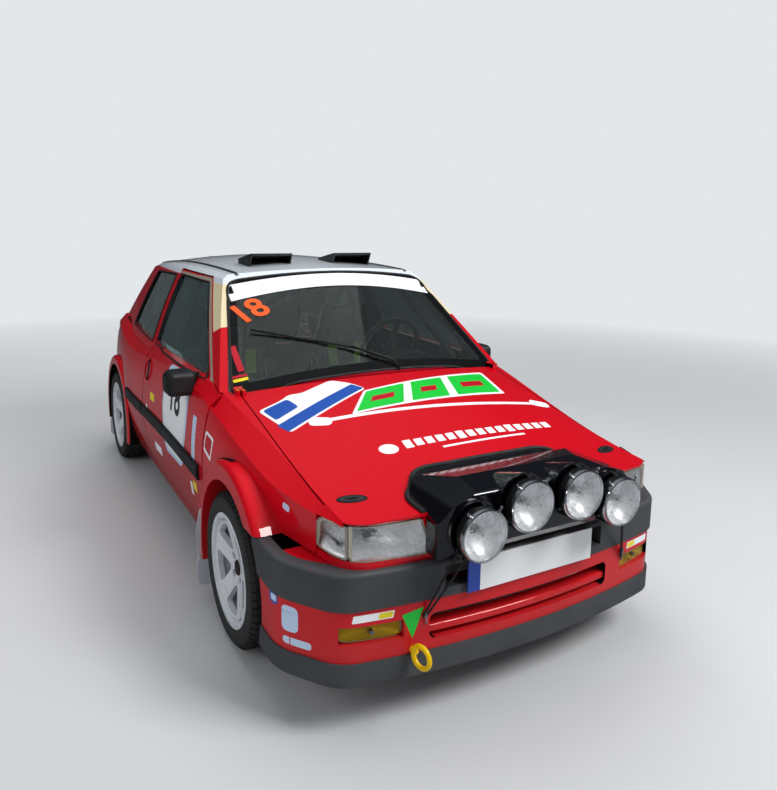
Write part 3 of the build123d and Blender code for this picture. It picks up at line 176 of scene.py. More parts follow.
def mix_colours(tree: Tree, factor: Socket, low: Socket | str, high: str) -> Socket:
    """A colour between two. The low one may be a socket."""
    return add_node(tree, "ShaderNodeMix", {"Factor": factor, "A": linear(low) if isinstance(low, str) else low,
                                            "B": linear(high)}, data_type="RGBA").outputs["Result"]


def split(tree: Tree, vector: Socket) -> dict[str, Socket]:
    """A vector's X, Y and Z."""
    axes = add_node(tree, "ShaderNodeSeparateXYZ", {0: vector})
    return {axis: axes.outputs[axis] for axis in "XYZ"}


@dataclass(frozen=True)
class Finish:
    """A surface finish: a Principled shader whose pattern methods the subclasses fill in."""

    name: str
    colour: str
    roughness: float = 0.5
    metallic: float = 0.0
    ior: float = 1.5
    coat: float = 0.0
    coat_roughness: float = 0.03
    transmission: float = 0.0
    alpha: float = 1.0
    sheen: float = 0.0
    specular: float = 0.5

    def material(self) -> bpy.types.Material:
        """Build the material once and return it."""
        known = bpy.data.materials.get(self.name)
        if known:
            return known
        made = bpy.data.materials.new(self.name)
        made.use_nodes = True
        made.diffuse_color = linear(self.colour)
        shader = made.node_tree.nodes["Principled BSDF"]
        for name, value in (("Base Color", linear(self.colour)), ("Roughness", self.roughness),
                            ("Metallic", self.metallic), ("IOR", self.ior), ("Coat Weight", self.coat),
                            ("Coat Roughness", self.coat_roughness), ("Transmission Weight", self.transmission),
                            ("Alpha", self.alpha), ("Sheen Weight", self.sheen),
                            ("Specular IOR Level", self.specular)):
            shader.inputs[name].default_value = value
        self.pattern(made.node_tree, shader)
        return made

    def pattern(self, tree: Tree, shader: Node) -> None:
        """Add the surface's own pattern. A plain finish has none."""

    def place_on(self, tree: Tree) -> Socket:
        """The Object coordinates, in metres, that every pattern reads."""
        return add_node(tree, "ShaderNodeTexCoord").outputs["Object"]

    def noise(self, tree: Tree, size_mm: float, detail: float = 2.0, rough: float = 0.5) -> Socket:
        """A noise whose lumps measure about size_mm across."""
        return add_node(tree, "ShaderNodeTexNoise", {"Vector": self.place_on(tree), "Scale": 1 / (size_mm * MM),
                                                     "Detail": detail, "Roughness": rough}).outputs["Fac"]

    def cells(self, tree: Tree, size_mm: float) -> Socket:
        """Domed cells that measure about size_mm across."""
        return add_node(tree, "ShaderNodeTexVoronoi", {"Vector": self.place_on(tree),
                                                       "Scale": 1 / (size_mm * MM)}).outputs["Distance"]

    def roughen(self, tree: Tree, shader: Node, size_mm: float, spread: float) -> None:
        """Vary the roughness in soft patches."""
        low, high = max(0.0, self.roughness - spread), min(1.0, self.roughness + spread)
        tree.links.new(stretch(tree, self.noise(tree, size_mm, 4), 0.3, 0.7, low, high), shader.inputs["Roughness"])

    def bump(self, tree: Tree, shader: Node, height: Socket, depth_mm: float, strength: float = 1.0,
             layer: str = "Normal") -> None:
        """Raise the surface or its coat by a height pattern of that real depth."""
        raised = add_node(tree, "ShaderNodeBump", {"Height": height, "Distance": depth_mm * MM, "Strength": strength})
        tree.links.new(raised.outputs["Normal"], shader.inputs[layer])

    def tint(self, tree: Tree, shader: Node, factor: Socket, high: str, low: str | None = None) -> None:
        """Blend what colours the surface so far, or a given low colour, towards another by a factor."""
        base = shader.inputs["Base Color"]
        below = low or (base.links[0].from_socket if base.links else self.colour)
        tree.links.new(mix_colours(tree, factor, below, high), base)


@dataclass(frozen=True)
class BodyPaint(Finish):
    """Two-layer car paint, sprayed and lacquered: a deep even colour under a clear coat with faint orange peel."""

    dust: str = "#8A5A4E"
    # The cabin's dark lining; on inward faces that are really body colour it is painted shade.
    lining: str = "#101113"
    lined: bool = False
    peel_mm: float = 7.0
    coat: float = 0.8
    roughness: float = 0.38
    specular: float = 0.08

    def line_inside(self, tree: Tree, shader: Node) -> None:
        """Cover the faces that look into the cabin with a dark colour: the cabin's real lining, and painted shade on
        inward faces that are really body colour, such as the wings' wheelhouse sides.
        """
        where = add_node(tree, "ShaderNodeTexCoord")
        outward = add_node(tree, "ShaderNodeVectorMath", {0: where.outputs["Object"], 1: CABIN_MIDDLE},
                           operation="SUBTRACT")
        axes = split(tree, outward.outputs[0])
        away = add_node(tree, "ShaderNodeCombineXYZ", {**axes, "Z": calculate(tree, "MAXIMUM", axes["Z"], 0.0)})
        facing = add_node(tree, "ShaderNodeVectorMath", {0: where.outputs["Normal"], 1: away.outputs[0]},
                          operation="DOT_PRODUCT")
        # Inward faces: partly the real lining, partly painted shade where the panel is body colour.
        inside = calculate(tree, "LESS_THAN", facing.outputs["Value"], -0.02)
        self.tint(tree, shader, inside, self.lining)
        tree.links.new(calculate(tree, "SUBTRACT", 1.0, inside), shader.inputs["Coat Weight"])

    def pattern(self, tree: Tree, shader: Node) -> None:
        """Orange peel in the lacquer and road dust that thickens towards the ground."""
        low = stretch(tree, split(tree, self.place_on(tree))["Z"], 0.62, 0.12, 0.0, 0.42)
        amount = add_node(tree, "ShaderNodeMath", {0: low, 1: self.noise(tree, 90, 6, 0.62)}, operation="MULTIPLY",
                          use_clamp=True)
        self.tint(tree, shader, amount.outputs[0], self.dust)
        self.bump(tree, shader, self.noise(tree, self.peel_mm, 1), 0.02, 0.6, "Coat Normal")
        self.two_tone(tree, shader)
        # Inward faces turn dark: the real lining, and painted shade where the panel is really body colour.
        if self.lined:
            self.line_inside(tree, shader)

    def two_tone(self, tree: Tree, shader: Node) -> None:
        """Lay a second colour where the finish has one."""


@dataclass(frozen=True)
class GrainedPlastic(Finish):
    """Moulded polypropylene with a fine leather grain, greyed by the sun."""

    grain_mm: float = 1.6
    worn: str = "#4C4E50"

    def pattern(self, tree: Tree, shader: Node) -> None:
        """Grain cells, patchy roughness and paler weathered areas."""
        self.bump(tree, shader, self.cells(tree, self.grain_mm), 0.12, 0.5)
        self.tint(tree, shader, self.noise(tree, 160, 5), self.worn)
        self.roughen(tree, shader, 60, 0.08)


@dataclass(frozen=True)
class MouldedRubber(Finish):
    """Black moulded rubber, slightly chalky where it has been handled."""

    chalk: str = "#2E2E2F"

    def pattern(self, tree: Tree, shader: Node) -> None:
        """Chalky patches and a fine tooth."""
        self.tint(tree, shader, self.noise(tree, 45, 6), self.chalk)
        self.bump(tree, shader, self.noise(tree, 1.4, 3), 0.08, 0.4)
        self.roughen(tree, shader, 30, 0.1)


@dataclass(frozen=True)
class CastMetal(Finish):
    """Cast or forged metal: a grainy skin with darker hollows."""

    grain_mm: float = 2.0
    hollow: str = "#3B3C3D"

    def pattern(self, tree: Tree, shader: Node) -> None:
        """Casting grain and stains."""
        self.tint(tree, shader, self.noise(tree, 35, 6), self.colour, self.hollow)
        self.bump(tree, shader, self.noise(tree, self.grain_mm, 4), 0.15, 0.5)
        self.roughen(tree, shader, 25, 0.12)


@dataclass(frozen=True)
class BrightMetal(Finish):
    """Chromed or polished metal with faint wiping marks."""

    def pattern(self, tree: Tree, shader: Node) -> None:
        """Patchy polish."""
        self.roughen(tree, shader, 18, 0.06)


@dataclass(frozen=True)
class WheelEnamel(Finish):
    """White baked enamel on an alloy wheel, with brake dust in its hollows."""

    dust: str = "#8F8A82"

    def pattern(self, tree: Tree, shader: Node) -> None:
        """Brake dust in soft clouds, and the enamel's slight texture."""
        self.tint(tree, shader, stretch(tree, self.noise(tree, 70, 6, 0.6), 0.5, 0.8, 0.0, 0.2), self.dust)
        self.bump(tree, shader, self.noise(tree, 4, 2), 0.03, 0.4)
        self.roughen(tree, shader, 40, 0.08)


@dataclass(frozen=True)
class Fabric(Finish):
    """Woven seat cloth: two thread directions, drawn about 3 mm apart so that they show."""

    thread_mm: float = 3.0
    high: str = "#26272B"

    def pattern(self, tree: Tree, shader: Node) -> None:
        """A plain weave from two crossed waves."""
        given = {"Vector": self.place_on(tree), "Scale": 0.31 / (self.thread_mm * MM), "Distortion": 0.4}
        weave = calculate(tree, "MULTIPLY", *(add_node(tree, "ShaderNodeTexWave", given, bands_direction=way)
                                              .outputs["Fac"] for way in ("X", "Z")))
        self.tint(tree, shader, weave, self.high)
        self.bump(tree, shader, weave, 0.4, 0.6)


@dataclass(frozen=True)
class ClearGlass(Finish):
    """Float glass or moulded clear plastic."""

    transmission: float = 1.0
    roughness: float = 0.0
    ior: float = 1.45
    smear: float = 0.02

    def pattern(self, tree: Tree, shader: Node) -> None:
        """The faint smears of a wiped pane."""
        tree.links.new(stretch(tree, self.noise(tree, 120, 5), 0.45, 0.75, 0.0, self.smear),
                       shader.inputs["Roughness"])


@dataclass(frozen=True)
class Vinyl(Finish):
    """Cut self-adhesive vinyl: an even colour, a soft gloss and tiny lifted specks."""

    roughness: float = 0.32

    def pattern(self, tree: Tree, shader: Node) -> None:
        """Slight unevenness of a film laid by hand."""
        self.bump(tree, shader, self.noise(tree, 25, 2), 0.05, 0.25)
        self.roughen(tree, shader, 80, 0.06)


@dataclass(frozen=True)
class PlateFace(Finish):
    """A blank reflective number plate: white film with a plain blue band at its end."""

    band: str = "#1E3F9A"
    band_edge_mm: float = -214.0
    cell_mm: float = 2.0

    def pattern(self, tree: Tree, shader: Node) -> None:
        """The blue band, and the fine cells of reflective film."""
        across = split(tree, self.place_on(tree))["X"]
        self.tint(tree, shader, calculate(tree, "LESS_THAN", across, self.band_edge_mm * MM), self.band)
        self.bump(tree, shader, self.cells(tree, self.cell_mm), 0.03, 0.3)


@dataclass(frozen=True)
class PillarPaint(BodyPaint):
    """Body paint with white roof rails and white upper screen pillars that end in a slanted edge against the red; the
    pillars' cream is a painted warm reflection over their white.
    """

    rail: str = "#DDE3EA"
    # Painted warm reflection, laid where the upper screen pillars are really white.
    cream: str = "#E9D9B0"
    rail_z: float = 1.262
    edge_z: float = 1.085
    edge_slope: float = 0.45
    edge_station_mm: float = 1405
    last_station_mm: float = 2230

    def two_tone(self, tree: Tree, shader: Node) -> None:
        """Lay cream, a painted warm reflection, over the upper screen pillar's white, and white over the roof rail."""
        at = split(tree, self.place_on(tree))
        edge = self.edge_z + self.edge_slope * (self.edge_station_mm - MIDDLE_MM) * MM
        upper = calculate(tree, "GREATER_THAN", calculate(tree, "MULTIPLY_ADD", at["Y"], self.edge_slope, at["Z"]),
                          edge)
        ahead = calculate(tree, "LESS_THAN", at["Y"], (self.last_station_mm - MIDDLE_MM) * MM)
        # Painted reflection: cream over the upper screen pillars' white.
        self.tint(tree, shader, calculate(tree, "MULTIPLY", upper, ahead), self.cream)
        self.tint(tree, shader, calculate(tree, "GREATER_THAN", at["Z"], self.rail_z), self.rail)


@dataclass(frozen=True)
class BayPaint(BodyPaint):
    """Dark underseal all over the floor, with body colour left in the engine bay."""

    bay: str = "#A3061A"
    leg_x: float = 0.437
    tower_z: float = 0.7
    bay_end_mm: float = 1106

    def two_tone(self, tree: Tree, shader: Node) -> None:
        """Lay the body colour between the front legs and over the strut towers."""
        at = split(tree, self.place_on(tree))
        between = calculate(tree, "LESS_THAN", calculate(tree, "ABSOLUTE", at["X"]), self.leg_x)
        either = calculate(tree, "MAXIMUM", between, calculate(tree, "GREATER_THAN", at["Z"], self.tower_z))
        ahead = calculate(tree, "LESS_THAN", at["Y"], (self.bay_end_mm - MIDDLE_MM) * MM)
        self.tint(tree, shader, calculate(tree, "MULTIPLY", either, ahead), self.bay)


# Lined finishes darken their inward faces: real lining, and painted shade where the panel is body colour.
RED_PAINT = BodyPaint("red_lacquer", "#CC0016", lined=True)
# The cream on its screen pillars is a painted warm reflection over white paint.
PILLAR_PAINT = PillarPaint("red_and_cream_lacquer", "#CC0016", lined=True)
WHITE_PAINT = BodyPaint("white_lacquer", "#DDE3EA", dust="#B9B5AE", lined=True)
UNDERSEAL = BayPaint("dark_underseal", "#141314", dust="#2A2522", coat=0.0, roughness=0.7)
BUMPER_PLASTIC = GrainedPlastic("grey_moulded_plastic", "#35373A", roughness=0.6)
BLACK_PLASTIC = GrainedPlastic("black_moulded_plastic", "#141516", roughness=0.48, worn="#232426")
POD_GELCOAT = BodyPaint("black_gelcoat", "#04050B", dust="#05060C", roughness=0.15, peel_mm=14.0, coat=1.0,
                        specular=0.5)
SATIN_BLACK = MouldedRubber("satin_black_coating", "#0B0B0C", roughness=0.42, chalk="#151516")
RUBBER = MouldedRubber("black_rubber", "#101011", roughness=0.7)
TYRE_RUBBER = MouldedRubber("tyre_rubber", "#0F0F10", roughness=0.82, chalk="#262524")
TREAD_RUBBER = MouldedRubber("tread_rubber", "#161515", roughness=0.88, chalk="#343230")
WHEEL_WHITE = WheelEnamel("white_wheel_enamel", "#D6DADE", roughness=0.28, coat=0.4)
CHROME = BrightMetal("chromed_steel", "#D9DBDD", roughness=0.09, metallic=1.0)
REFLECTOR = BrightMetal("aluminised_reflector", "#F6F8FA", roughness=0.3, metallic=0.6)
FOG_BOWL = BrightMetal("fog_lamp_bowl", "#D9C648", roughness=0.4, metallic=0.3)
ZINC = BrightMetal("zinc_plated_steel", "#A9ABAC", roughness=0.32, metallic=1.0)
DISC_IRON = CastMetal("turned_brake_iron", "#8B8C8C", roughness=0.35, metallic=1.0, hollow="#5E5E5E")
CAST_IRON = CastMetal("rusty_cast_iron", "#4A4540", roughness=0.75, metallic=0.6, hollow="#3A2A20")
CAST_ALLOY = CastMetal("cast_aluminium", "#8D8F90", roughness=0.5, metallic=1.0, hollow="#5C5E5F")
CHASSIS_BLACK = MouldedRubber("chassis_enamel", "#121213", roughness=0.45, chalk="#2B2724")
EXHAUST_STEEL = CastMetal("heat_dulled_steel", "#77706A", roughness=0.42, metallic=1.0, hollow="#4B3F38")
FLAP_PLASTIC = GrainedPlastic("pale_flap_plastic", "#DDE1EA", roughness=0.5, worn="#C0C4CC")
SEAT_CLOTH = Fabric("black_seat_cloth", "#0D0D10", roughness=0.85, sheen=0.3)
BELT_WEB = Fabric("harness_webbing", "#101013", roughness=0.7, thread_mm=2.0, high="#1C1C20")
LIME_WEB = Fabric("lime_webbing", "#B7D400", roughness=0.7, thread_mm=2.0, high="#D8F02A")
GRP_SHELL = BodyPaint("seat_shell_gelcoat", "#0A0A0C", dust="#0B0B0D", roughness=0.3)
WINDOW_GLASS = ClearGlass("window_glass", "#A4AFAC")
TINTED_GLASS = ClearGlass("side_window_glass", "#8FA3A3")
LAMP_CLEAR = ClearGlass("fluted_lamp_glass", "#FFFFFF", smear=0.14, alpha=0.5)
FOG_YELLOW = ClearGlass("yellow_lamp_glass", "#F4E04A", smear=0.12, alpha=0.8)
TAIL_RED = ClearGlass("red_lamp_plastic", "#C20510", ior=1.49)
AMBER = ClearGlass("amber_lamp_plastic", "#E56A08", ior=1.49)
BLACK_FRIT = Vinyl("baked_black_border", "#050506", roughness=0.25)
LAMP_BEZEL = GrainedPlastic("pale_lamp_housing", "#A79F8E", roughness=0.5, worn="#8E887B")
PLATE_WHITE = PlateFace("blank_plate_film", "#E9EAEA", roughness=0.35, coat=0.5)
TOW_YELLOW = BodyPaint("yellow_enamel", "#F0C400", dust="#B58F10", roughness=0.35)
CAGE_PAINT = BodyPaint("grey_cage_enamel", "#1B1C20", dust="#1E1F23", roughness=0.4)
DASH_PLASTIC = GrainedPlastic("dashboard_skin", "#111214", roughness=0.75, worn="#17181A", grain_mm=2.4)
SUEDE = Fabric("suede_rim", "#0E0E0F", roughness=0.95, sheen=0.6, thread_mm=1.6, high="#1A1A1C")
VINYL_WHITE = Vinyl("white_vinyl", "#EDEEF0")
VINYL_GREEN = Vinyl("green_vinyl", "#17C43A")
VINYL_BLUE = Vinyl("blue_vinyl", "#1C4FA8")
VINYL_PALE = Vinyl("pale_blue_vinyl", "#BFD3EC")
VINYL_BLACK = Vinyl("black_vinyl", "#0C0C0D")
VINYL_ORANGE = Vinyl("orange_vinyl", "#FF5A0A")
VINYL_YELLOW = Vinyl("yellow_vinyl", "#E8D21A")
VINYL_RED = Vinyl("red_vinyl", "#B80A20")


def linked(name: str, data: bpy.types.ID) -> Piece:
    """A new object of the scene that shows this mesh, curve, light or camera."""
    made = bpy.data.objects.new(name, data)
    bpy.context.scene.collection.objects.link(made)
    return made


def shade(work: bmesh.types.BMesh, smooth_degrees: float) -> None:
    """Turn all faces outwards and smooth them over every edge but the sharper ones."""
    bmesh.ops.recalc_face_normals(work, faces=work.faces)
    for face in work.faces:
        face.smooth = True
    for edge in work.edges:
        if len(edge.link_faces) == 2:
            edge.smooth = edge.calc_face_angle(0.0) < math.radians(smooth_degrees)


def new_piece(name: str, vertices: Sequence[Sequence[float]], faces: Sequence[Sequence[int]], finish: Finish,
              smooth_degrees: float = 35.0) -> Piece:
    """Make a mesh object at the origin from points and faces.

    Args:
        name: The piece's name.
        vertices: Points in metres, in the car's frame.
        faces: Vertex numbers of each face.
        finish: The finish that covers it.
        smooth_degrees: Edges sharper than this stay sharp.

    Returns:
        The linked object, with no doubled points and its faces turned out.
    """
    mesh = bpy.data.meshes.new(name)
    mesh.from_pydata([tuple(v) for v in vertices], [], [tuple(f) for f in faces])
    work = bmesh.new()
    work.from_mesh(mesh)
    bmesh.ops.remove_doubles(work, verts=work.verts, dist=1e-6)
    shade(work, smooth_degrees)
    work.to_mesh(mesh)
    work.free()
    mesh.materials.append(finish.material())
    return linked(name, mesh)


def join_pieces(name: str, parts: Sequence[Piece]) -> Piece:
    """Join mesh objects that lie at the origin into one, keeping their materials.

    Args:
        name: The joined piece's name.
        parts: The objects to join. They are removed.

    Returns:
        The joined object.
    """
    mesh = bpy.data.meshes.new(name)
    work = bmesh.new()
    for part in parts:
        slots = []
        for material in part.data.materials:
            if material.name not in mesh.materials:
                mesh.materials.append(material)
            slots.append(mesh.materials.find(material.name))
        start = len(work.faces)
        work.from_mesh(part.data)
        work.faces.ensure_lookup_table()
        for face in work.faces[start:]:
            face.material_index = slots[face.material_index] if slots else 0
        bpy.data.objects.remove(part)
    work.to_mesh(mesh)
    work.free()
    return linked(name, mesh)


def bridge(one: Sequence[int], two: Sequence[int]) -> list[tuple[int, ...]]:
    """Faces between two rings of vertex numbers."""
    count = len(one)
    return [(one[i], one[(i + 1) % count], two[(i + 1) % count], two[i]) for i in range(count)]


def grid_faces(rows: int, columns: int) -> list[tuple[int, ...]]:
    """Faces of a net whose points are numbered row by row, from how many faces it has each way."""
    width = columns + 1
    return [(k, k + 1, k + width + 1, k + width) for j in range(rows) for k in range(j * width, j * width + columns)]


def lathe(name: str, profile: Sequence[Flat], origin: Vector, axis: Vector, finish: Finish,
          segments: int = 48) -> Piece:
    """Turn a profile round an axis.

    Args:
        name: The piece's name.
        profile: Radius and distance along the axis of each point in millimetres, from one end to the other.
        origin: Where the axis starts.
        axis: The axis's direction.
        finish: The finish.
        segments: Steps round the axis.

    Returns:
        The turned piece, closed on the axis where the profile meets it.
    """
    turn = axis.normalized().to_track_quat("Z", "Y").to_matrix()
    points: list[Vector] = []
    rings: list[list[int]] = []
    for radius, along in ((r * MM, z * MM) for r, z in profile):
        steps = segments if radius > 1e-6 else 1
        rings.append([len(points) + i % steps for i in range(segments)])
        for i in range(steps):
            angle = 2 * math.pi * i / segments
            points.append(origin + turn @ Vector((radius * math.cos(angle), radius * math.sin(angle), along)))
    quads = [tuple(dict.fromkeys(face)) for one, two in zip(rings, rings[1:]) for face in bridge(one, two)]
    return new_piece(name, points, [face for face in quads if len(face) > 2], finish)


def sweep(name: str, path: Sequence[Vector], section: Sequence[Flat], finish: Finish, up: Vector,
          closed: bool = False, smooth_degrees: float = 40.0) -> Piece:
    """Carry a closed flat section along a path.

    Args:
        name: The piece's name.
        path: The path's points in metres.
        section: Points of the section in millimetres: across the path, then along the up direction.
        finish: The finish.
        up: Which way the section's second axis points.
        closed: Whether the path is a loop.
        smooth_degrees: Edges sharper than this stay sharp.

    Returns:
        The swept piece, with its ends capped when the path is open.
    """
    count, size = len(path), len(section)
    points: list[Vector] = []
    for i, spot in enumerate(path):
        before = path[i - 1] if i or closed else spot
        after = path[(i + 1) % count] if i < count - 1 or closed else spot
        along = (after - before).normalized()
        across = along.cross(up).normalized()
        rise = across.cross(along).normalized()
        points += [spot + (across * a + rise * b) * MM for a, b in section]
    rings = [range(i * size, (i + 1) * size) for i in range(count)]
    following = rings[1:] + rings[:1] if closed else rings[1:]
    faces = [face for one, two in zip(rings, following) for face in bridge(one, two)]
    return new_piece(name, points, faces if closed else faces + [rings[0], rings[-1]], finish, smooth_degrees)


def round_section(radius_mm: float, steps: int = 10) -> list[Flat]:
    """A circle as a section."""
    return ellipse(0, 0, radius_mm, radius_mm, steps)


def ellipse(u: float, v: float, wide: float, tall: float, steps: int, lean: float = 0.0) -> list[Flat]:
    """An ellipse round a middle, with its half width and half height, turned by an angle in radians."""
    points = []
    for k in range(steps):
        a, b = wide * math.cos(2 * math.pi * k / steps), tall * math.sin(2 * math.pi * k / steps)
        points.append((u + a * math.cos(lean) - b * math.sin(lean), v + a * math.sin(lean) + b * math.cos(lean)))
    return points


def rectangle(u: float, v: float, wide: float, tall: float, lean: float = 0.0) -> list[Flat]:
    """A rectangle round a middle, with its upper side moved across by the lean."""
    return [(u - wide / 2, v - tall / 2), (u + wide / 2, v - tall / 2), (u + wide / 2 + lean, v + tall / 2),
            (u - wide / 2 + lean, v + tall / 2)]


def trapezium(foot_half: float, head_half: float, low: float, high: float) -> list[Flat]:
    """A window's four corners from half its widths and the places of its lower and upper edge."""
    return [(-foot_half, low), (foot_half, low), (head_half, high), (-head_half, high)]


def on_side(side: Side, outline: Iterable[Flat]) -> list[Flat]:
    """An outline that is drawn for the left side, on either side."""
    return [(side.value * u, v) for u, v in outline]


def middle_of(points: Sequence[Flat]) -> Vector:
    """The mean of flat points."""
    return sum((Vector(p) for p in points), Vector((0, 0))) / len(points)


def catmull_rom(a: Vector, b: Vector, c: Vector, d: Vector, t: float) -> Vector:
    """A place between b and c on the smooth curve through four points."""
    return 0.5 * ((2 * b) + (c - a) * t + (2 * a - 5 * b + 4 * c - d) * t ** 2 + (3 * b - a - 3 * c + d) * t ** 3)


def smooth_path(points: Sequence[Vector], steps: int = 6) -> list[Vector]:
    """A rounded path through points.

    Args:
        points: The points it passes through.
        steps: Points made for each stretch.

    Returns:
        The denser path.
    """
    ends = [points[0], *points, points[-1]]
    dense = [catmull_rom(*ends[i:i + 4], k / steps) for i in range(len(points) - 1) for k in range(steps)]
    return dense + [points[-1]]


def rounded_outline(corners: Sequence[Flat], radius: float, steps: int = 5) -> list[Flat]:
    """A closed outline whose corners are rounded.

    Args:
        corners: The corners in order.
        radius: The radius at each corner, cut to what the sides allow.
        steps: Points made for each corner.

    Returns:
        The outline's points.
    """
    out: list[Flat] = []
    count = len(corners)
    for i in range(count):
        here = Vector(corners[i])
        back = Vector(corners[i - 1]) - here
        ahead = Vector(corners[(i + 1) % count]) - here
        reach = min(radius, back.length * 0.45, ahead.length * 0.45)
        start = here + back.normalized() * reach
        end = here + ahead.normalized() * reach
        for k in range(steps + 1):
            t = k / steps
            spot = start * (1 - t) ** 2 + here * (2 * t * (1 - t)) + end * t ** 2
            out.append((spot.x, spot.y))
    return out


class Skin:
    """The outside of some CAD nodes, for laying thin pieces on it."""

    def __init__(self, nodes: dict[str, Piece], names: Iterable[str]) -> None:
        """Gather the nodes' faces into one tree.

        Args:
            nodes: The frame's nodes by name.
            names: The nodes that make up this skin.
        """
        points: list[Vector] = []
        faces: list[tuple[int, ...]] = []
        for name in names:
            start = len(points)
            mesh = nodes[name].data
            points += [v.co.copy() for v in mesh.vertices]
            faces += [tuple(start + i for i in p.vertices) for p in mesh.polygons]
        self.tree = BVHTree.FromPolygons(points, faces)

    def hit(self, start: Vector, way: Vector) -> tuple[Vector, Vector] | None:
        """Where a ray meets the skin.

        Args:
            start: The ray's start.
            way: Its direction.

        Returns:
            The place and the outward normal, or None where it misses.
        """
        spot, normal, _, _ = self.tree.ray_cast(start, way)
        if spot is None:
            return None
        return spot, normal if normal.dot(way) < 0 else -normal


@dataclass
class Projector:
    """A flat drawing board in space whose drawings are laid on a skin along its own normal."""

    origin: Vector
    across: Vector
    up: Vector
    skin: Skin
    grid_mm: float

    @property
    def way(self) -> Vector:
        """The direction of projection, into the car."""
        return -self.across.cross(self.up).normalized()

    def spot(self, u: float, v: float, lift_mm: float) -> Vector | None:
        """The place on the skin under a drawing point, lifted a little.

        Args:
            u: Millimetres across.
            v: Millimetres up.
            lift_mm: How far it stands off the skin.

        Returns:
            The place in the car's frame, or None where the board overhangs the skin.
        """
        start = self.origin + self.across.normalized() * u * MM + self.up.normalized() * v * MM
        found = self.skin.hit(start - self.way * STAND_OFF, self.way)
        if found is None:
            return None
        return found[0] - self.way * lift_mm * MM

    def path(self, points: Iterable[Flat], lift_mm: float) -> list[Vector]:
        """The places under drawing points, without those that overhang the skin."""
        return [spot for spot in (self.spot(u, v, lift_mm) for u, v in points) if spot is not None]

    def lay(self, name: str, outlines: Sequence[Sequence[Flat]], finish: Finish, lift_mm: float) -> Piece:
        """Lay closed outlines on the skin as thin film.

        Args:
            name: The piece's name.
            outlines: Closed outlines in millimetres on the board. Inner outlines cut holes.
            finish: The film's finish.
            lift_mm: How far the film stands off the skin.

        Returns:
            The film as a thin closed piece.
        """
        curve = bpy.data.curves.new(name, "CURVE")
        curve.dimensions = "2D"
        curve.fill_mode = "BOTH"
        for outline in outlines:
            spline = curve.splines.new("POLY")
            spline.points.add(len(outline) - 1)
            for point, (u, v) in zip(spline.points, outline):
                point.co = (u, v, 0, 1)
            spline.use_cyclic_u = True
        return self.lay_curve(name, curve, finish, lift_mm)

    def sticker(self, name: str, outline: Sequence[Flat], radius: float, finish: Finish, lift_mm: float) -> Piece:
        """A film with rounded corners."""
        return self.lay(name, [rounded_outline(outline, radius)], finish, lift_mm)

    def lay_text(self, name: str, words: str, height_mm: float, finish: Finish, lift_mm: float,
                 shear: float = 0.0) -> Piece:
        """Lay plain figures on the skin.

        Args:
            name: The piece's name.
            words: The figures.
            height_mm: The height of a figure.
            finish: The film's finish.
            lift_mm: How far the film stands off the skin.
            shear: How far the figures lean.

        Returns:
            The film as a thin closed piece.
        """
        curve = bpy.data.curves.new(name, "FONT")
        curve.body = words
        curve.size = height_mm / FIGURE_HEIGHT
        curve.align_x = "CENTER"
        curve.align_y = "CENTER"
        curve.offset = height_mm * FIGURE_WEIGHT
        curve.shear = shear
        return self.lay_curve(name, curve, finish, lift_mm)

    def lay_curve(self, name: str, curve: bpy.types.Curve, finish: Finish, lift_mm: float) -> Piece:
        """Cut a filled curve into a grid and lay it on the skin."""
        holder = linked(name, curve)
        flat = bpy.data.meshes.new_from_object(holder)
        bpy.data.objects.remove(holder)
        work = bmesh.new()
        work.from_mesh(flat)
        bmesh.ops.remove_doubles(work, verts=work.verts, dist=0.01)
        for k, way in enumerate((ACROSS, REARWARD)):
            low, high = (pick(v.co[k] for v in work.verts) for pick in (min, max))
            for i in range(1, int((high - low) / self.grid_mm) + 1):
                bmesh.ops.bisect_plane(work, geom=work.verts[:] + work.edges[:] + work.faces[:],
                                       plane_co=way * (low + i * self.grid_mm), plane_no=way)
        bmesh.ops.triangulate(work, faces=[f for f in work.faces if len(f.verts) > 4])
        places = {vertex: self.spot(vertex.co.x, vertex.co.y, lift_mm) for vertex in work.verts}
        bmesh.ops.delete(work, geom=[vertex for vertex, spot in places.items() if spot is None], context="VERTS")
        for vertex, spot in places.items():
            if spot is not None:
                vertex.co = spot
        work.normal_update()
        for face in work.faces:
            face.smooth = True
            if face.normal.dot(self.way) > 0:
                face.normal_flip()
        mesh = bpy.data.meshes.new(name)
        work.to_mesh(mesh)
        work.free()
        mesh.materials.append(finish.material())
        return linked(name, mesh)


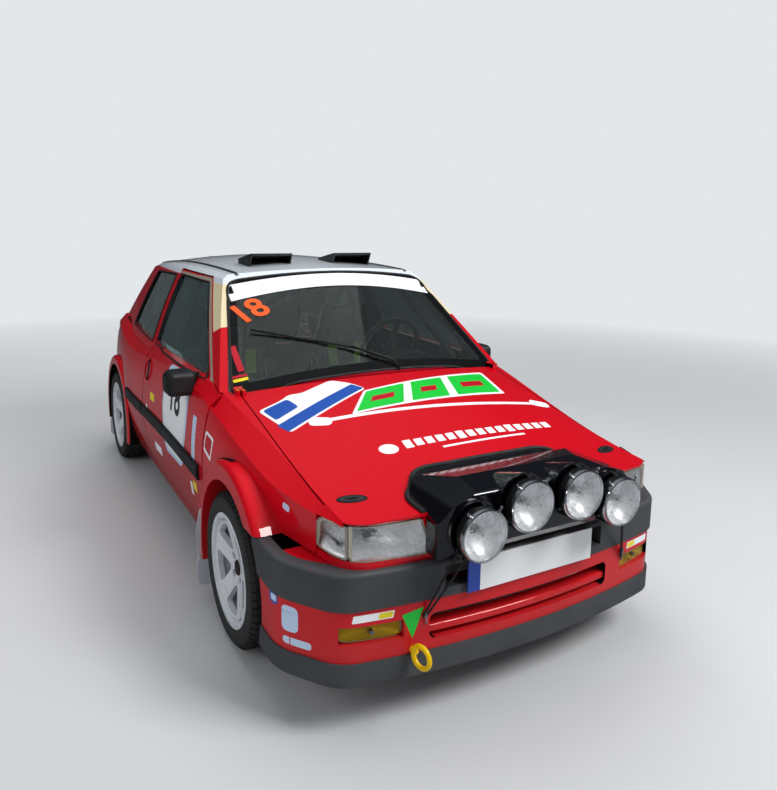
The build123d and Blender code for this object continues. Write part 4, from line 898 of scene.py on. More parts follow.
class Repeat:
    """Geometry Nodes that set copies of a small shape in a ring or on given points."""

    def __init__(self, name: str, shape: Piece, finish: Finish) -> None:
        """Start an empty tree.

        Args:
            name: The tree's name.
            shape: The small shape that is repeated.
            finish: The finish of every copy.
        """
        self.shape = shape
        self.finish = finish
        self.tree = bpy.data.node_groups.new(name, "GeometryNodeTree")
        for way in ("INPUT", "OUTPUT"):
            self.tree.interface.new_socket("Geometry", in_out=way, socket_type="NodeSocketGeometry")
        self.inputs: dict[str, object] = {}

    def size(self, name: str, kind: str, value: object) -> None:
        """Add a named input to the tree and remember its value."""
        self.tree.interface.new_socket(name, in_out="INPUT", socket_type=kind)
        self.inputs[name] = value

    def end(self, points: Socket, turn: Socket) -> None:
        """Instance the shape on points, realize the copies and give them the finish."""
        held = add_node(self.tree, "GeometryNodeObjectInfo", {"Object": self.shape})
        copies = add_node(self.tree, "GeometryNodeInstanceOnPoints",
                          {"Points": points, "Instance": held.outputs["Geometry"], "Rotation": turn})
        real = add_node(self.tree, "GeometryNodeRealizeInstances", {0: copies.outputs["Instances"]})
        dressed = add_node(self.tree, "GeometryNodeSetMaterial", {"Geometry": real.outputs["Geometry"],
                                                                  "Material": self.finish.material()})
        add_node(self.tree, "NodeGroupOutput", {0: dressed.outputs["Geometry"]})

    def make(self, name: str, frame: Matrix, host: bpy.types.Mesh | None = None) -> Piece:
        """Run the tree and keep its result as a plain mesh.

        Args:
            name: The new piece's name.
            frame: Where the tree's own space lies on the car.
            host: The points that the tree reads, where it reads any.

        Returns:
            The plain mesh object, with its place in its mesh.
        """
        holder = linked(name + "_host", host or bpy.data.meshes.new(name + "_host"))
        modifier = holder.modifiers.new("repeat", "NODES")
        modifier.node_group = self.tree
        for item in self.tree.interface.items_tree:
            if item.in_out == "INPUT" and item.name in self.inputs:
                modifier[item.identifier] = self.inputs[item.name]
        graph = bpy.context.evaluated_depsgraph_get()
        result = bpy.data.meshes.new_from_object(holder.evaluated_get(graph), preserve_all_data_layers=True,
                                                 depsgraph=graph)
        holder.modifiers.clear()
        bpy.data.objects.remove(holder)
        result.name = name
        result.transform(frame)
        return linked(name, result)

    def ring(self, name: str, frame: Matrix, count: int, radius: float) -> Piece:
        """Copies on a ring about the frame's Z, each turned with its place.

        Args:
            name: The piece's name.
            frame: Where the ring lies.
            count: How many copies.
            radius: The ring's radius in metres.

        Returns:
            The plain mesh object.
        """
        self.size("Count", "NodeSocketInt", count)
        self.size("Radius", "NodeSocketFloat", radius)
        given = add_node(self.tree, "NodeGroupInput")
        circle = add_node(self.tree, "GeometryNodeMeshCircle",
                          {"Vertices": given.outputs["Count"], "Radius": given.outputs["Radius"]})
        index = add_node(self.tree, "GeometryNodeInputIndex")
        step = calculate(self.tree, "DIVIDE", 2 * math.pi, given.outputs["Count"])
        angle = calculate(self.tree, "MULTIPLY", index.outputs[0], step)
        turn = add_node(self.tree, "ShaderNodeCombineXYZ", {"Z": angle})
        self.end(circle.outputs["Mesh"], turn.outputs[0])
        return self.make(name, frame)

    def on_points(self, name: str, places: Sequence[tuple[Vector, Vector]]) -> Piece:
        """Copies on given places, each standing along the way it faces.

        Args:
            name: The piece's name.
            places: The place and the facing direction of each copy.

        Returns:
            The plain mesh object.
        """
        host = bpy.data.meshes.new(name + "_points")
        host.from_pydata([tuple(spot) for spot, _ in places], [], [])
        facing = host.attributes.new("facing", "FLOAT_VECTOR", "POINT")
        for i, (_, way) in enumerate(places):
            facing.data[i].vector = way.normalized()
        given = add_node(self.tree, "NodeGroupInput")
        stored = add_node(self.tree, "GeometryNodeInputNamedAttribute", {"Name": "facing"}, data_type="FLOAT_VECTOR")
        turn = add_node(self.tree, "FunctionNodeAlignEulerToVector", {"Vector": stored.outputs["Attribute"]}, axis="Z")
        self.end(given.outputs["Geometry"], turn.outputs["Rotation"])
        return self.make(name, Matrix.Identity(4), host)


class Car:
    def __init__(self, frame: dict) -> None:
        """Keep the frame's nodes and their material slots.
        """
        self.nodes: dict[str, Piece] = frame["nodes"]
        self.slots = {part["node"]: part["material_slot"] for part in frame["record"]["subparts"]}

    def skin(self, *names: str) -> Skin:
        """The outside of these nodes."""
        return Skin(self.nodes, names)

    def dress(self, node: str, finish: Finish) -> None:
        """Give a CAD node its finish."""
        materials = self.nodes[node].data.materials
        materials.clear()
        materials.append(finish.material())

    def add(self, piece: Piece, body: Body | str, like: str, *replaced: str) -> None:
        """Ride a finished piece on its body and hide the nodes it stands for.

        Args:
            piece: The finished piece.
            body: The body that it rides on.
            like: Not used.
            replaced: CAD nodes that it stands for.
        """
        if piece.type == "MESH" and not piece.data.materials:
            raise ValueError(f"{piece.name} has no finish")
        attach(piece, body.value if isinstance(body, Body) else body)
        if replaced:
            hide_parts(*replaced)
        log.info("%s rides on %s", piece.name, body)


@dataclass
class Studio:
    """The pale floor, the soft lights and the camera at the photograph's place."""

    floor_colour: str = "#C9CACB"
    surround_colour: str = "#E3E7EA"
    mirrored_floor: str = "#6E7174"
    horizon: str = "#4C5158"
    zenith: str = "#E8EEF6"
    light_colour: str = "#E4ECF6"
    sky_strength: float = 0.34
    fade_metres: Flat = (3.2, 8.5)
    reach_metres: float = 60.0
    softboxes: tuple[tuple[str, Point, Point, float, float], ...] = (
        ("key", (2.6, -5.0, 5.4), (0, -0.3, 0.5), 2.6, 380), ("fill", (-6.0, -1.5, 3.2), (0, 0, 0.7), 4.0, 95),
        ("top", (0.2, 0.8, 6.0), (0, 0.2, 0.0), 5.0, 150), ("back", (1.5, 6.5, 3.6), (0, 0.5, 0.6), 3.5, 110),
    )
    camera_mm: Point = (-1518.0, -1689.0, 1570.0)
    yaw_degrees: float = 29.62
    pitch_degrees: float = 9.05
    roll_degrees: float = 0.97
    focal_pixels: float = 717.1
    centre_pixel: Flat = (388.5, 334.6)

    def build(self) -> None:
        """Make the floor, the world, the lights and the camera."""
        self.floor()
        self.world()
        for name, spot, aim, size, power in self.softboxes:
            self.lamp(name, Vector(spot), Vector(aim), size, power)
        self.camera()

    def floor(self) -> None:
        """A wide matt floor that belongs to the stage and fades into the pale surround."""
        finish = Finish("studio_floor_paint", self.floor_colour, roughness=0.85)
        tree = finish.material().node_tree
        shader = tree.nodes["Principled BSDF"]
        away = add_node(tree, "ShaderNodeVectorMath", {0: finish.place_on(tree)}, operation="LENGTH")
        far = stretch(tree, away.outputs["Value"], *self.fade_metres)
        path = add_node(tree, "ShaderNodeLightPath").outputs
        finish.tint(tree, shader, path["Is Glossy Ray"], self.mirrored_floor)
        glow = add_node(tree, "ShaderNodeEmission", {"Color": linear(self.surround_colour), "Strength": 1.0})
        seen = calculate(tree, "MULTIPLY", far, path["Is Camera Ray"])
        both = add_node(tree, "ShaderNodeMixShader", {0: seen, 1: shader.outputs[0], 2: glow.outputs[0]})
        tree.links.new(both.outputs[0], tree.nodes["Material Output"].inputs["Surface"])
        side = 2 * self.reach_metres
        new_piece("studio_floor", [(x, y, 0) for x, y in rectangle(0, 0, side, side)], [range(4)], finish)

    def world(self) -> None:
        """A pale surround to the camera and through glass, with a darker horizon where it is mirrored or lights."""
        world = bpy.data.worlds.new("studio_world")
        world.use_nodes = True
        tree = world.node_tree
        tree.nodes.clear()
        path = add_node(tree, "ShaderNodeLightPath").outputs
        seen = calculate(tree, "MAXIMUM", path["Is Camera Ray"], path["Is Transmission Ray"])
        height = split(tree, add_node(tree, "ShaderNodeTexCoord").outputs["Generated"])["Z"]
        sky = mix_colours(tree, stretch(tree, height, 0.5, 1.0), self.horizon, self.zenith)
        mirrored, light, plain = (
            add_node(tree, "ShaderNodeBackground", {"Color": colour, "Strength": strength}).outputs[0]
            for colour, strength in ((sky, self.sky_strength), (linear(self.light_colour), self.sky_strength),
                                     (linear(self.surround_colour), 1.0)))
        soft = add_node(tree, "ShaderNodeMixShader", {0: path["Is Glossy Ray"], 1: light, 2: mirrored})
        both = add_node(tree, "ShaderNodeMixShader", {0: seen, 1: soft.outputs[0], 2: plain})
        add_node(tree, "ShaderNodeOutputWorld", {"Surface": both.outputs[0]})
        bpy.context.scene.world = world

    def lamp(self, name: str, spot: Vector, aim: Vector, size: float, power: float) -> None:
        """One square softbox.

        Args:
            name: Its name.
            spot: Where it hangs.
            aim: What it points at.
            size: Its side in metres.
            power: Its power in watts.
        """
        light = bpy.data.lights.new(name, "AREA")
        light.energy = power
        light.size = size
        holder = linked(name, light)
        holder.location = spot
        holder.rotation_euler = (aim - spot).to_track_quat("-Z", "Y").to_euler()
        holder.visible_glossy = name == "key"

    def camera(self) -> None:
        """The camera that was solved together with the car from the photograph."""
        yaw, pitch, roll = (math.radians(a) for a in (self.yaw_degrees, self.pitch_degrees, self.roll_degrees))
        ahead = Vector((math.sin(yaw) * math.cos(pitch), math.cos(yaw) * math.cos(pitch), -math.sin(pitch)))
        level = ahead.cross(Vector((0, 0, 1))).normalized()
        rise = level.cross(ahead)
        right = level * math.cos(roll) + rise * math.sin(roll)
        up = rise * math.cos(roll) - level * math.sin(roll)
        lens = bpy.data.cameras.new("photo_camera")
        lens.sensor_width = 36
        lens.lens = 36 * self.focal_pixels / PHOTO_HEIGHT
        lens.shift_x = (PHOTO_WIDTH / 2 - self.centre_pixel[0]) / PHOTO_HEIGHT
        lens.shift_y = (self.centre_pixel[1] - PHOTO_HEIGHT / 2) / PHOTO_HEIGHT
        lens.clip_end = 200
        holder = linked("photo_camera", lens)
        turn = Matrix((right, up, -ahead)).transposed().to_4x4()
        holder.matrix_world = Matrix.Translation(place(*self.camera_mm)) @ turn
        bpy.context.scene.camera = holder
        bpy.context.scene.view_settings.view_transform = "Standard"


@dataclass
class BodyPanels:
    """The painted panels and the moulded outer pieces that keep their CAD shape."""

    panels: dict[Finish, str] = field(default_factory=lambda: {
        RED_PAINT: "front_wing_left front_wing_right front_panel bonnet door_left door_right tailgate front_bumper "
                   "rear_bumper",
        PILLAR_PAINT: "body_side_left body_side_right", WHITE_PAINT: "roof", UNDERSEAL: "floor_pan",
        BUMPER_PLASTIC: "bumper_trim", POD_GELCOAT: "lamp_pod", PLATE_WHITE: "number_plates", TOW_YELLOW: "tow_ring",
        FLAP_PLASTIC: "mud_flaps", BLACK_PLASTIC: "mirror_left mirror_right", SATIN_BLACK: "roof_vents wiper",
        DASH_PLASTIC: "dashboard", CAGE_PAINT: "roll_cage", CAST_ALLOY: "engine", SEAT_CLOTH: "seats",
        CHASSIS_BLACK: "front_subframe rear_axle", EXHAUST_STEEL: "exhaust", CAST_IRON: "knuckle_left knuckle_right",
        WINDOW_GLASS: "fixed_glass", TINTED_GLASS: "tailgate_glass door_glass_left door_glass_right",
        FOG_YELLOW: "fog_lamps", LAMP_CLEAR: "front_lamps pod_lamps", TAIL_RED: "tail_lamps", SUEDE: "steering_wheel",
        WHEEL_WHITE: "rim_front_left rim_front_right rim_rear_left rim_rear_right",
        TYRE_RUBBER: "tyre_front_left tyre_front_right tyre_rear_left tyre_rear_right",
    })

    def build(self, car: Car) -> None:
        """Dress every CAD node."""
        finishes = {node: finish for finish, nodes in self.panels.items() for node in nodes.split()}
        for node in car.nodes:
            car.dress(node, finishes[node])


def board_above(skin: Skin, grid_mm: float = 28.0) -> Projector:
    """A board over the car: u is x and v is the station, both in millimetres."""
    return Projector(place(0, 0, 1500), ACROSS, REARWARD, skin, grid_mm)


def board_ahead(skin: Skin, grid_mm: float = 20.0) -> Projector:
    """A board in front of the car: u is x and v is the height."""
    return Projector(place(0, -160, 0), ACROSS, UPWARD, skin, grid_mm)


def board_behind(skin: Skin, grid_mm: float = 20.0) -> Projector:
    """A board behind the car: u is x turned round, v is the height."""
    return Projector(place(0, 3800, 0), -ACROSS, UPWARD, skin, grid_mm)


def board_beside(side: Side, skin: Skin, grid_mm: float = 28.0) -> Projector:
    """A board beside the car: u runs rearward on the left side and forward on the right, v is the height."""
    return Projector(place(side.value * 900, 0, 0), REARWARD * side.value, UPWARD, skin, grid_mm)


def board_on_screen(skin: Skin) -> Projector:
    """A board on the windscreen: u is x and v runs up the glass from its foot."""
    return Projector(place(0, 1025, 905), ACROSS, Vector((0, 574, 417)).normalized(), skin, 26.0)


@dataclass
class Livery:
    """Plain cut vinyl in the places, colours and sizes of the car's graphics, with nothing written on it."""

    number: str = "18"
    door_number_mm: float = 150.0
    door_number_at: Flat = (1628, 735)
    screen_number_mm: float = 118.0
    screen_number_at: Flat = (-466, 474)
    screen_number_tilt: float = 17.0
    event_plate: tuple[Flat, ...] = ((-623, 896), (-567, 696), (-152, 896), (-196, 962), (-263, 1013), (-420, 952),
                                     (-470, 962), (-520, 930))
    plate_band: tuple[Flat, ...] = ((-572, 706), (-160, 902), (-196, 948), (-596, 762))
    plate_patch: tuple[Flat, ...] = ((-607, 890), (-585, 800), (-470, 856), (-490, 930))
    block: tuple[Flat, ...] = ((-276, 734), (457, 771), (487, 962), (-166, 869))
    bar: tuple[Flat, ...] = ((-453, 709), (591, 643), (596, 664), (-446, 731))
    bar_tip: tuple[Flat, ...] = ((-52, -12), (30, -44), (56, 6), (-24, 44))
    dash_row: tuple[Flat, Flat] = ((-225, 462), (480, 466))
    dashes: int = 15
    dash_line: tuple[Flat, ...] = ((-90, 398), (300, 406), (300, 418), (-90, 410))
    door_panel: tuple[Flat, ...] = ((1400, 880), (1790, 872), (1864, 700), (1830, 433), (1480, 440), (1390, 640))

    def build(self, car: Car) -> None:
        """Lay every sticker on its own body."""
        self.bonnet(car)
        for side in Side:
            self.door(car, side)
            self.wing(car, side)
        self.screen(car)
        self.bumper(car)

    def shrunk(self, outline: Sequence[Flat], share: float) -> list[Flat]:
        """The outline drawn in towards its middle."""
        middle = middle_of(outline)
        return [tuple(middle + (Vector(p) - middle) * share) for p in outline]

    def quad(self, corners: Sequence[Flat], left: float, right: float, low: float, high: float) -> list[Flat]:
        """A part of a four-cornered field, by shares across and up it."""
        a, b, c, d = (Vector(p) for p in corners)
        return [tuple(a.lerp(b, s).lerp(d.lerp(c, s), t))
                for s, t in ((left, low), (right, low), (right, high), (left, high))]

    def bonnet(self, car: Car) -> None:
        """The event plate, the green block, the long bar and the dashed row."""
        board = board_above(car.skin("bonnet"))
        parts = [
            board.sticker("plate_film", self.event_plate, 22, VINYL_WHITE, 0.3),
            board.lay("plate_band", [self.plate_band], VINYL_BLUE, 0.6),
            board.sticker("plate_patch", self.plate_patch, 16, VINYL_BLUE, 0.6),
        ]
        edge = self.quad(self.block, -0.025, 1.025, -0.09, 1.09)
        parts.append(board.sticker("block_edge", edge, 14, VINYL_WHITE, 0.3))
        for name, fields, low, high, radius, finish, lift in (
            ("block_panel", ((0.0, 0.3), (0.36, 0.62), (0.68, 1.0)), 0.0, 1.0, 8, VINYL_GREEN, 0.6),
            ("block_slot", ((0.07, 0.23), (0.43, 0.55), (0.75, 0.93)), 0.36, 0.62, 6, VINYL_RED, 0.9),
        ):
            for left, right in fields:
                corners = self.quad(self.block, left, right, low, high)
                parts.append(board.lay(name, [rounded_outline(corners, radius)], finish, lift))
        parts.append(board.sticker("long_bar", self.bar, 10, VINYL_WHITE, 0.3))
        for end, station in ((-440, 722), (582, 656)):
            tip = [(end + u, station + v) for u, v in self.bar_tip]
            parts.append(board.sticker("bar_end", tip, 26, VINYL_WHITE, 0.3))
        start, stop = (Vector(p) for p in self.dash_row)
        for step in range(self.dashes):
            here = start.lerp(stop, step / self.dashes)
            dash = rectangle(here.x + 17, here.y, 34, 44 if step % 5 else 52, 6)
            parts.append(board.lay("dash", [dash], VINYL_WHITE, 0.3))
        parts.append(board.lay("dash_line", [self.dash_line], VINYL_WHITE, 0.3))
        parts.append(board.lay("dash_disc", [ellipse(-290, 455, 38, 32, 24)], VINYL_WHITE, 0.3))
        car.add(join_pieces("bonnet_stickers", parts), Body.BONNET, "bonnet")

    def door(self, car: Car, side: Side) -> None:
        """The pale number panel with its black figures, and the yellow patch near the door's rear."""
        board = board_beside(side, car.skin(f"door_{side.word}"))
        panel = on_side(side, self.door_panel)
        parts = [board.sticker("panel_edge", panel, 60, VINYL_PALE, 0.3),
                 board.sticker("panel", self.shrunk(panel, 0.9), 52, VINYL_WHITE, 0.6)]
        station, height = self.door_number_at
        number = Projector(board.origin + (board.across * side.value * station + UPWARD * height) * MM, board.across,
                           board.up, board.skin, 20)
        parts.append(number.lay_text("figures", self.number, self.door_number_mm, VINYL_BLACK, 0.9))
        for s, z, wide, tall, finish in ((1265, 640, 54, 200, VINYL_PALE), (1262, 430, 60, 44, VINYL_YELLOW),
                                         (1330, 400, 40, 60, VINYL_WHITE), (2080, 640, 90, 40, VINYL_YELLOW),
                                         (2010, 380, 150, 46, VINYL_WHITE), (2205, 560, 30, 30, VINYL_WHITE)):
            parts.append(board.sticker("patch", rectangle(side.value * s, z, wide, tall), 8, finish, 0.3))
        car.add(join_pieces(f"door_stickers_{side.word}", parts), Body.door(side), "door_left")

    def wing(self, car: Car, side: Side) -> None:
        """Small blank stickers on the front wing."""
        board = board_beside(side, car.skin(f"front_wing_{side.word}"))
        parts = []
        for finish, lift, outline in ((VINYL_WHITE, 0.3, ((1000, 712), (1100, 722), (1106, 642), (1010, 618))),
                                      (VINYL_RED, 0.6, ((1012, 702), (1090, 710), (1096, 654), (1020, 634))),
                                      (VINYL_PALE, 0.3, ((380, 650), (420, 655), (424, 632), (384, 626)))):
            parts.append(board.sticker("badge", on_side(side, outline), 12, finish, lift))
        car.add(join_pieces(f"wing_stickers_{side.word}", parts), Body.ROOT, "roof")

    def screen(self, car: Car) -> None:
        """The white strip over the windscreen, the orange number and the small inspection stickers."""
        board = board_on_screen(car.skin("fixed_glass"))
        edge = [(-560 + 1120 * k / 20, 552 + 34 * math.sin(math.pi * k / 20)) for k in range(21)]
        strip = edge + [(520 - 52 * k, 664 + 15 * math.sin(math.pi * k / 20)) for k in range(21)]
        parts = [board.lay("sun_strip", [strip], VINYL_WHITE, 1.0)]
        tilt = math.radians(self.screen_number_tilt)
        u, v = self.screen_number_at
        across = board.across * math.cos(tilt) + board.up * math.sin(tilt)
        rise = board.up * math.cos(tilt) - board.across * math.sin(tilt)
        number = Projector(board.origin + (board.across * u + board.up * v) * MM, across, rise, board.skin, 18)
        parts.append(number.lay_text("screen_number", self.number, self.screen_number_mm, VINYL_ORANGE, 1.2, -0.12))
        for u, v, wide, tall, finish in ((-612, 92, 62, 16, VINYL_YELLOW), (-612, 112, 62, 14, VINYL_RED),
                                         (-598, 210, 26, 150, VINYL_RED)):
            parts.append(board.lay("screen_patch", [rectangle(u, v, wide, tall)], finish, 1.2))
        car.add(join_pieces("screen_stickers", parts), Body.ROOT, "roof")

    def bumper(self, car: Car) -> None:
        """The blank bars on the bumper, the arrow over the towing ring and the round sticker by the wheel."""
        board = board_ahead(car.skin("front_bumper", "bumper_trim"), 14)
        parts = []
        for side in Side:
            for u, v, wide, tall, finish, lift in ((562, 393, 128, 24, VINYL_WHITE, 0.4),
                                                   (524, 393, 44, 18, VINYL_YELLOW, 0.7)):
                parts.append(board.sticker("bar", rectangle(side.value * u, v, wide, tall, 5), 3, finish, lift))
        parts.append(board.lay("arrow", [((-470, 382), (-398, 398), (-434, 300))], VINYL_GREEN, 0.6))
        flank = board_beside(Side.RIGHT, car.skin("front_bumper"), 16)
        for s, z, wide, tall, finish, lift in ((300, 400, 54, 40, VINYL_BLUE, 0.3),
                                               (296, 400, 34, 22, VINYL_PALE, 0.6),
                                               (226, 356, 56, 84, VINYL_PALE, 0.3),
                                               (204, 284, 90, 24, VINYL_PALE, 0.3)):
            parts.append(flank.sticker("flank_sticker", rectangle(-s, z, wide, tall), 20, finish, lift))
        car.add(join_pieces("bumper_stickers", parts), Body.ROOT, "roof")


@dataclass
class Glazing:
    """Baked black borders, rubber seals and the roof's ditch strips."""

    screen_foot_half: float = 670.0
    screen_head_half: float = 512.0
    screen_low: float = 6.0
    screen_high: float = 694.0
    border: float = 34.0
    seal_radius: float = 6.0
    door_window: tuple[Flat, ...] = ((1297, 888), (1780, 1256), (2293, 1262), (2257, 888))
    door_rail: tuple[Flat, ...] = ((1232, 884), (1777, 1281), (2326, 1285), (2324, 1265), (1783, 1262), (1272, 888))
    quarter_window: tuple[Flat, ...] = ((2352, 888), (2388, 1256), (2938, 1237), (3016, 899))
    roof_run: Flat = (1632, 3190)
    ditch_x: float = 463.0
    ditch_bow: float = 6.0
    tail_foot: Flat = (3566, 900)
    tail_head: Flat = (3212, 1302)
    tail_border: float = 34.0

    def build(self, car: Car) -> None:
        """Dress the windscreen, the side windows, the tailgate's window and the roof's seams."""
        self.screen(car)
        for side in Side:
            self.side_windows(car, side)
            self.ditch(car, side)
        self.tail(car)

    def screen(self, car: Car) -> None:
        """The border on the windscreen and the rubber round it."""
        board = board_on_screen(car.skin("fixed_glass"))
        foot, head, edge = self.screen_foot_half, self.screen_head_half, self.border
        low, high = self.screen_low + 12, self.screen_high - 10
        outer = rounded_outline(trapezium(foot - 4, head, low, high), 60, 8)
        inner = rounded_outline(trapezium(foot - edge - 12, head - edge + 8, low + edge + 16, high - edge), 50, 8)
        border = board.lay("screen_border", [outer, inner], BLACK_FRIT, 0.3)
        car.add(border, Body.ROOT, "roof_vents")
        shell = board_on_screen(car.skin("fixed_glass", "roof", "body_side_left", "body_side_right", "floor_pan"))
        loop = rounded_outline(trapezium(foot - 2, head + 8, self.screen_low + 8, self.screen_high - 4), 60, 8)
        seal = self.bead("screen_seal", shell, loop, self.seal_radius, Vector((0, -417, 574)).normalized())
        car.add(seal, Body.ROOT, "roof_vents")

    def bead(self, name: str, board: Projector, outline: Sequence[Flat], radius: float, up: Vector) -> Piece:
        """A round rubber bead laid along an outline on a skin.

        Args:
            name: The piece's name.
            board: The board that the outline is drawn on.
            outline: The closed outline in millimetres.
            radius: The bead's radius in millimetres.
            up: Which way is out.

        Returns:
            The bead.
        """
        path = []
        for i, here in enumerate(outline):
            after = outline[(i + 1) % len(outline)]
            steps = max(1, int((Vector(after) - Vector(here)).length / 45))
            for k in range(steps):
                u, v = Vector(here).lerp(Vector(after), k / steps)
                spot = board.spot(u, v, radius * 0.25)
                if spot is not None and (not path or (spot - path[-1]).length > 1e-4):
                    path.append(spot)
        return sweep(name, path, round_section(radius, 8), RUBBER, up, closed=True)

    def side_windows(self, car: Car, side: Side) -> None:
        """Rubber round the door's and the quarter window, and the pale strip over the door's window."""
        out = ACROSS * side.value
        glazed = board_beside(side, car.skin(f"door_{side.word}", f"door_glass_{side.word}"))
        bead = self.bead(f"door_window_seal_{side.word}", glazed, on_side(side, self.door_window), 5.0, out)
        car.add(bead, Body.door(side), "roof_vents")
        door = board_beside(side, car.skin(f"door_{side.word}"))
        trim = door.lay(f"door_frame_trim_{side.word}", [on_side(side, self.door_rail)], LAMP_BEZEL, 0.5)
        car.add(trim, Body.door(side), "roof_vents")
        body = board_beside(side, car.skin(f"body_side_{side.word}", "fixed_glass"))
        pane = rounded_outline(on_side(side, self.quarter_window), 24)
        quarter = self.bead(f"quarter_window_seal_{side.word}", body, pane, 5.0, out)
        car.add(quarter, Body.ROOT, "roof_vents")

    def ditch(self, car: Car, side: Side) -> None:
        """The rubber strip in the seam between the roof and the body side."""
        board = board_above(car.skin("roof", f"body_side_{side.word}"))
        start, end = self.roof_run
        steps = 44
        line = ((side.value * (self.ditch_x + self.ditch_bow * math.sin(math.pi * k / steps)),
                 start + (end - start) * k / steps) for k in range(steps + 1))
        strip = sweep(f"roof_strip_{side.word}", board.path(line, 1.0), rectangle(0, 0, 17, 7), RUBBER, UPWARD)
        car.add(strip, Body.ROOT, "roof_vents")

    def tail(self, car: Car) -> None:
        """The border on the tailgate's window."""
        foot, head = place(0, *self.tail_foot), place(0, *self.tail_head)
        board = Projector(foot, -ACROSS, (head - foot).normalized(), car.skin("tailgate_glass"), 26.0)
        low, high = 24, 498
        outer = rounded_outline(trapezium(533, 405, low, high), 60, 8)
        inner = rounded_outline(trapezium(500, 380, low + self.tail_border, high - 30), 50, 8)
        car.add(board.lay("tail_border", [outer, inner], BLACK_FRIT, 0.4), Body.TAILGATE, "roof_vents")


def thicken(film: Piece, board: Projector, depth_mm: float, flute_mm: float = 0.0) -> Piece:
    """Close a film to a solid by a second face behind it.

    Args:
        film: The film, which becomes the solid's front.
        board: The board that it was laid from.
        depth_mm: How far behind the front the second face lies.
        flute_mm: The width of the flutes on the second face of a lens.

    Returns:
        The same piece.
    """
    work = bmesh.new()
    work.from_mesh(film.data)
    bmesh.ops.remove_doubles(work, verts=work.verts, dist=1e-6)
    faces = list(work.faces)
    rim = [e for e in work.edges if len(e.link_faces) == 1]
    back = {}
    across = board.across.normalized()
    for vertex in list(work.verts):
        wave = 0.0
        if flute_mm:
            turn = (vertex.co - board.origin).dot(across) / (flute_mm * MM)
            wave = FLUTE_DEPTH * flute_mm * (1 + math.cos(2 * math.pi * turn))
        back[vertex] = work.verts.new(vertex.co + board.way * (depth_mm + wave) * MM)
    for face in faces:
        work.faces.new([back[v] for v in reversed(face.verts)])
    for edge in rim:
        one, two = edge.verts
        work.faces.new((one, two, back[two], back[one]))
    shade(work, 50)
    work.to_mesh(film.data)
    work.free()
    return film


@dataclass
class LampUnit:
    """One moulded lamp: a fluted lens over a bright bowl in a pale bucket, all drawn from one outline."""

    name: str
    outline: Sequence[Flat]
    bulb: Flat
    depth_mm: float
    flute_mm: float
    lens_finish: Finish = LAMP_CLEAR
    bowl_finish: Finish = REFLECTOR
    rim_mm: float = 5.0
    corner_mm: float = 7.0
    lift_mm: float = 0.0
    wall: tuple[Flat, ...] = ((1.0, 5.0), (0.985, 12.0), (0.9, 30.0), (0.72, 52.0), (0.48, 68.0), (0.24, 76.0),
                              (0.08, 78.0), (0.08, 81.0), (0.5, 72.0), (0.93, 32.0), (1.0, 14.0))

    @property
    def deep(self) -> float:
        """The lamp's depth as a share of the deep one that the wall is drawn for."""
        return self.depth_mm / WALL_DEPTH_MM

    def build(self, board: Projector) -> list[Piece]:
        """Make the lens, the rim and the bowl.

        Args:
            board: The board in front of the lamp, with the lamp's own CAD skin.

        Returns:
            The pieces, not yet joined.
        """
        loop = rounded_outline(self.outline, self.corner_mm, 6)
        fine = Projector(board.origin, board.across, board.up, board.skin, self.flute_mm / 2)
        film = fine.lay(f"{self.name}_lens", [loop], self.lens_finish, self.lift_mm - 0.5)
        lens = thicken(film, board, 2.6, self.flute_mm)
        middle = middle_of(loop)
        inner = [tuple(middle + (Vector(p) - middle) * self.share(p, middle)) for p in loop]
        rim = thicken(board.lay(f"{self.name}_rim", [loop, inner], LAMP_BEZEL, self.lift_mm + 0.2), board, 9.0)
        return [lens, rim, self.bowl(board, loop, middle)] + self.bulb_pieces(board)

    def share(self, point: Flat, middle: Vector) -> float:
        """How far in a rim point lies, as a share of its distance from the middle."""
        reach = (Vector(point) - middle).length
        return max(0.0, (reach - self.rim_mm) / reach)

    def nearest(self, board: Projector, point: Vector, middle: Vector) -> Vector:
        """The skin under an outline's point, or under the nearest point towards the middle that has some."""
        for share in (1.0, 0.97, 0.94, 0.9, 0.85, 0.75, 0.6, 0.4, 0.0):
            spot = board.spot(*(middle + (point - middle) * share), 0.0)
            if spot is not None:
                shift = (point - middle) * (1 - share) * MM
                return spot + board.across * shift.x + board.up * shift.y
        raise ValueError(f"{self.name} lies off its node")

    def bowl(self, board: Projector, loop: Sequence[Flat], middle: Vector) -> Piece:
        """A bright bowl that narrows from the outline to the bulb, closed at its back by a second wall."""
        points: list[Vector] = []
        edge = [self.nearest(board, Vector(point), middle) for point in loop]
        for share, depth in self.wall:
            for point, spot in zip(loop, edge):
                pull = (Vector(self.bulb) - Vector(point)) * (1 - share)
                points.append(spot + (board.across * pull.x + board.up * pull.y) * MM
                              + board.way * depth * self.deep * MM)
        rings = [range(i, i + len(loop)) for i in range(0, len(points), len(loop))]
        faces = [face for one, two in zip(rings, rings[1:] + rings[:1]) for face in bridge(one, two)]
        return new_piece(f"{self.name}_bowl", points, faces, self.bowl_finish, 60)

    def bulb_pieces(self, board: Projector) -> list[Piece]:
        """The bulb with its bright cap."""
        edge = board.spot(*self.bulb, 0.0)
        if edge is None:
            return []
        back = edge + board.way * 74 * self.deep * MM
        return [lathe(f"{self.name}_bulb", ((0, 34), (4, 33), (6, 28), (6, 0), (0, -4)), back, -board.way, LAMP_CLEAR,
                      20),
                lathe(f"{self.name}_cap", ((0, 42), (7, 40), (8.5, 34), (8.5, 22), (7.8, 22), (7.8, 34), (0, 38)), back,
                      -board.way, ZINC, 20)]


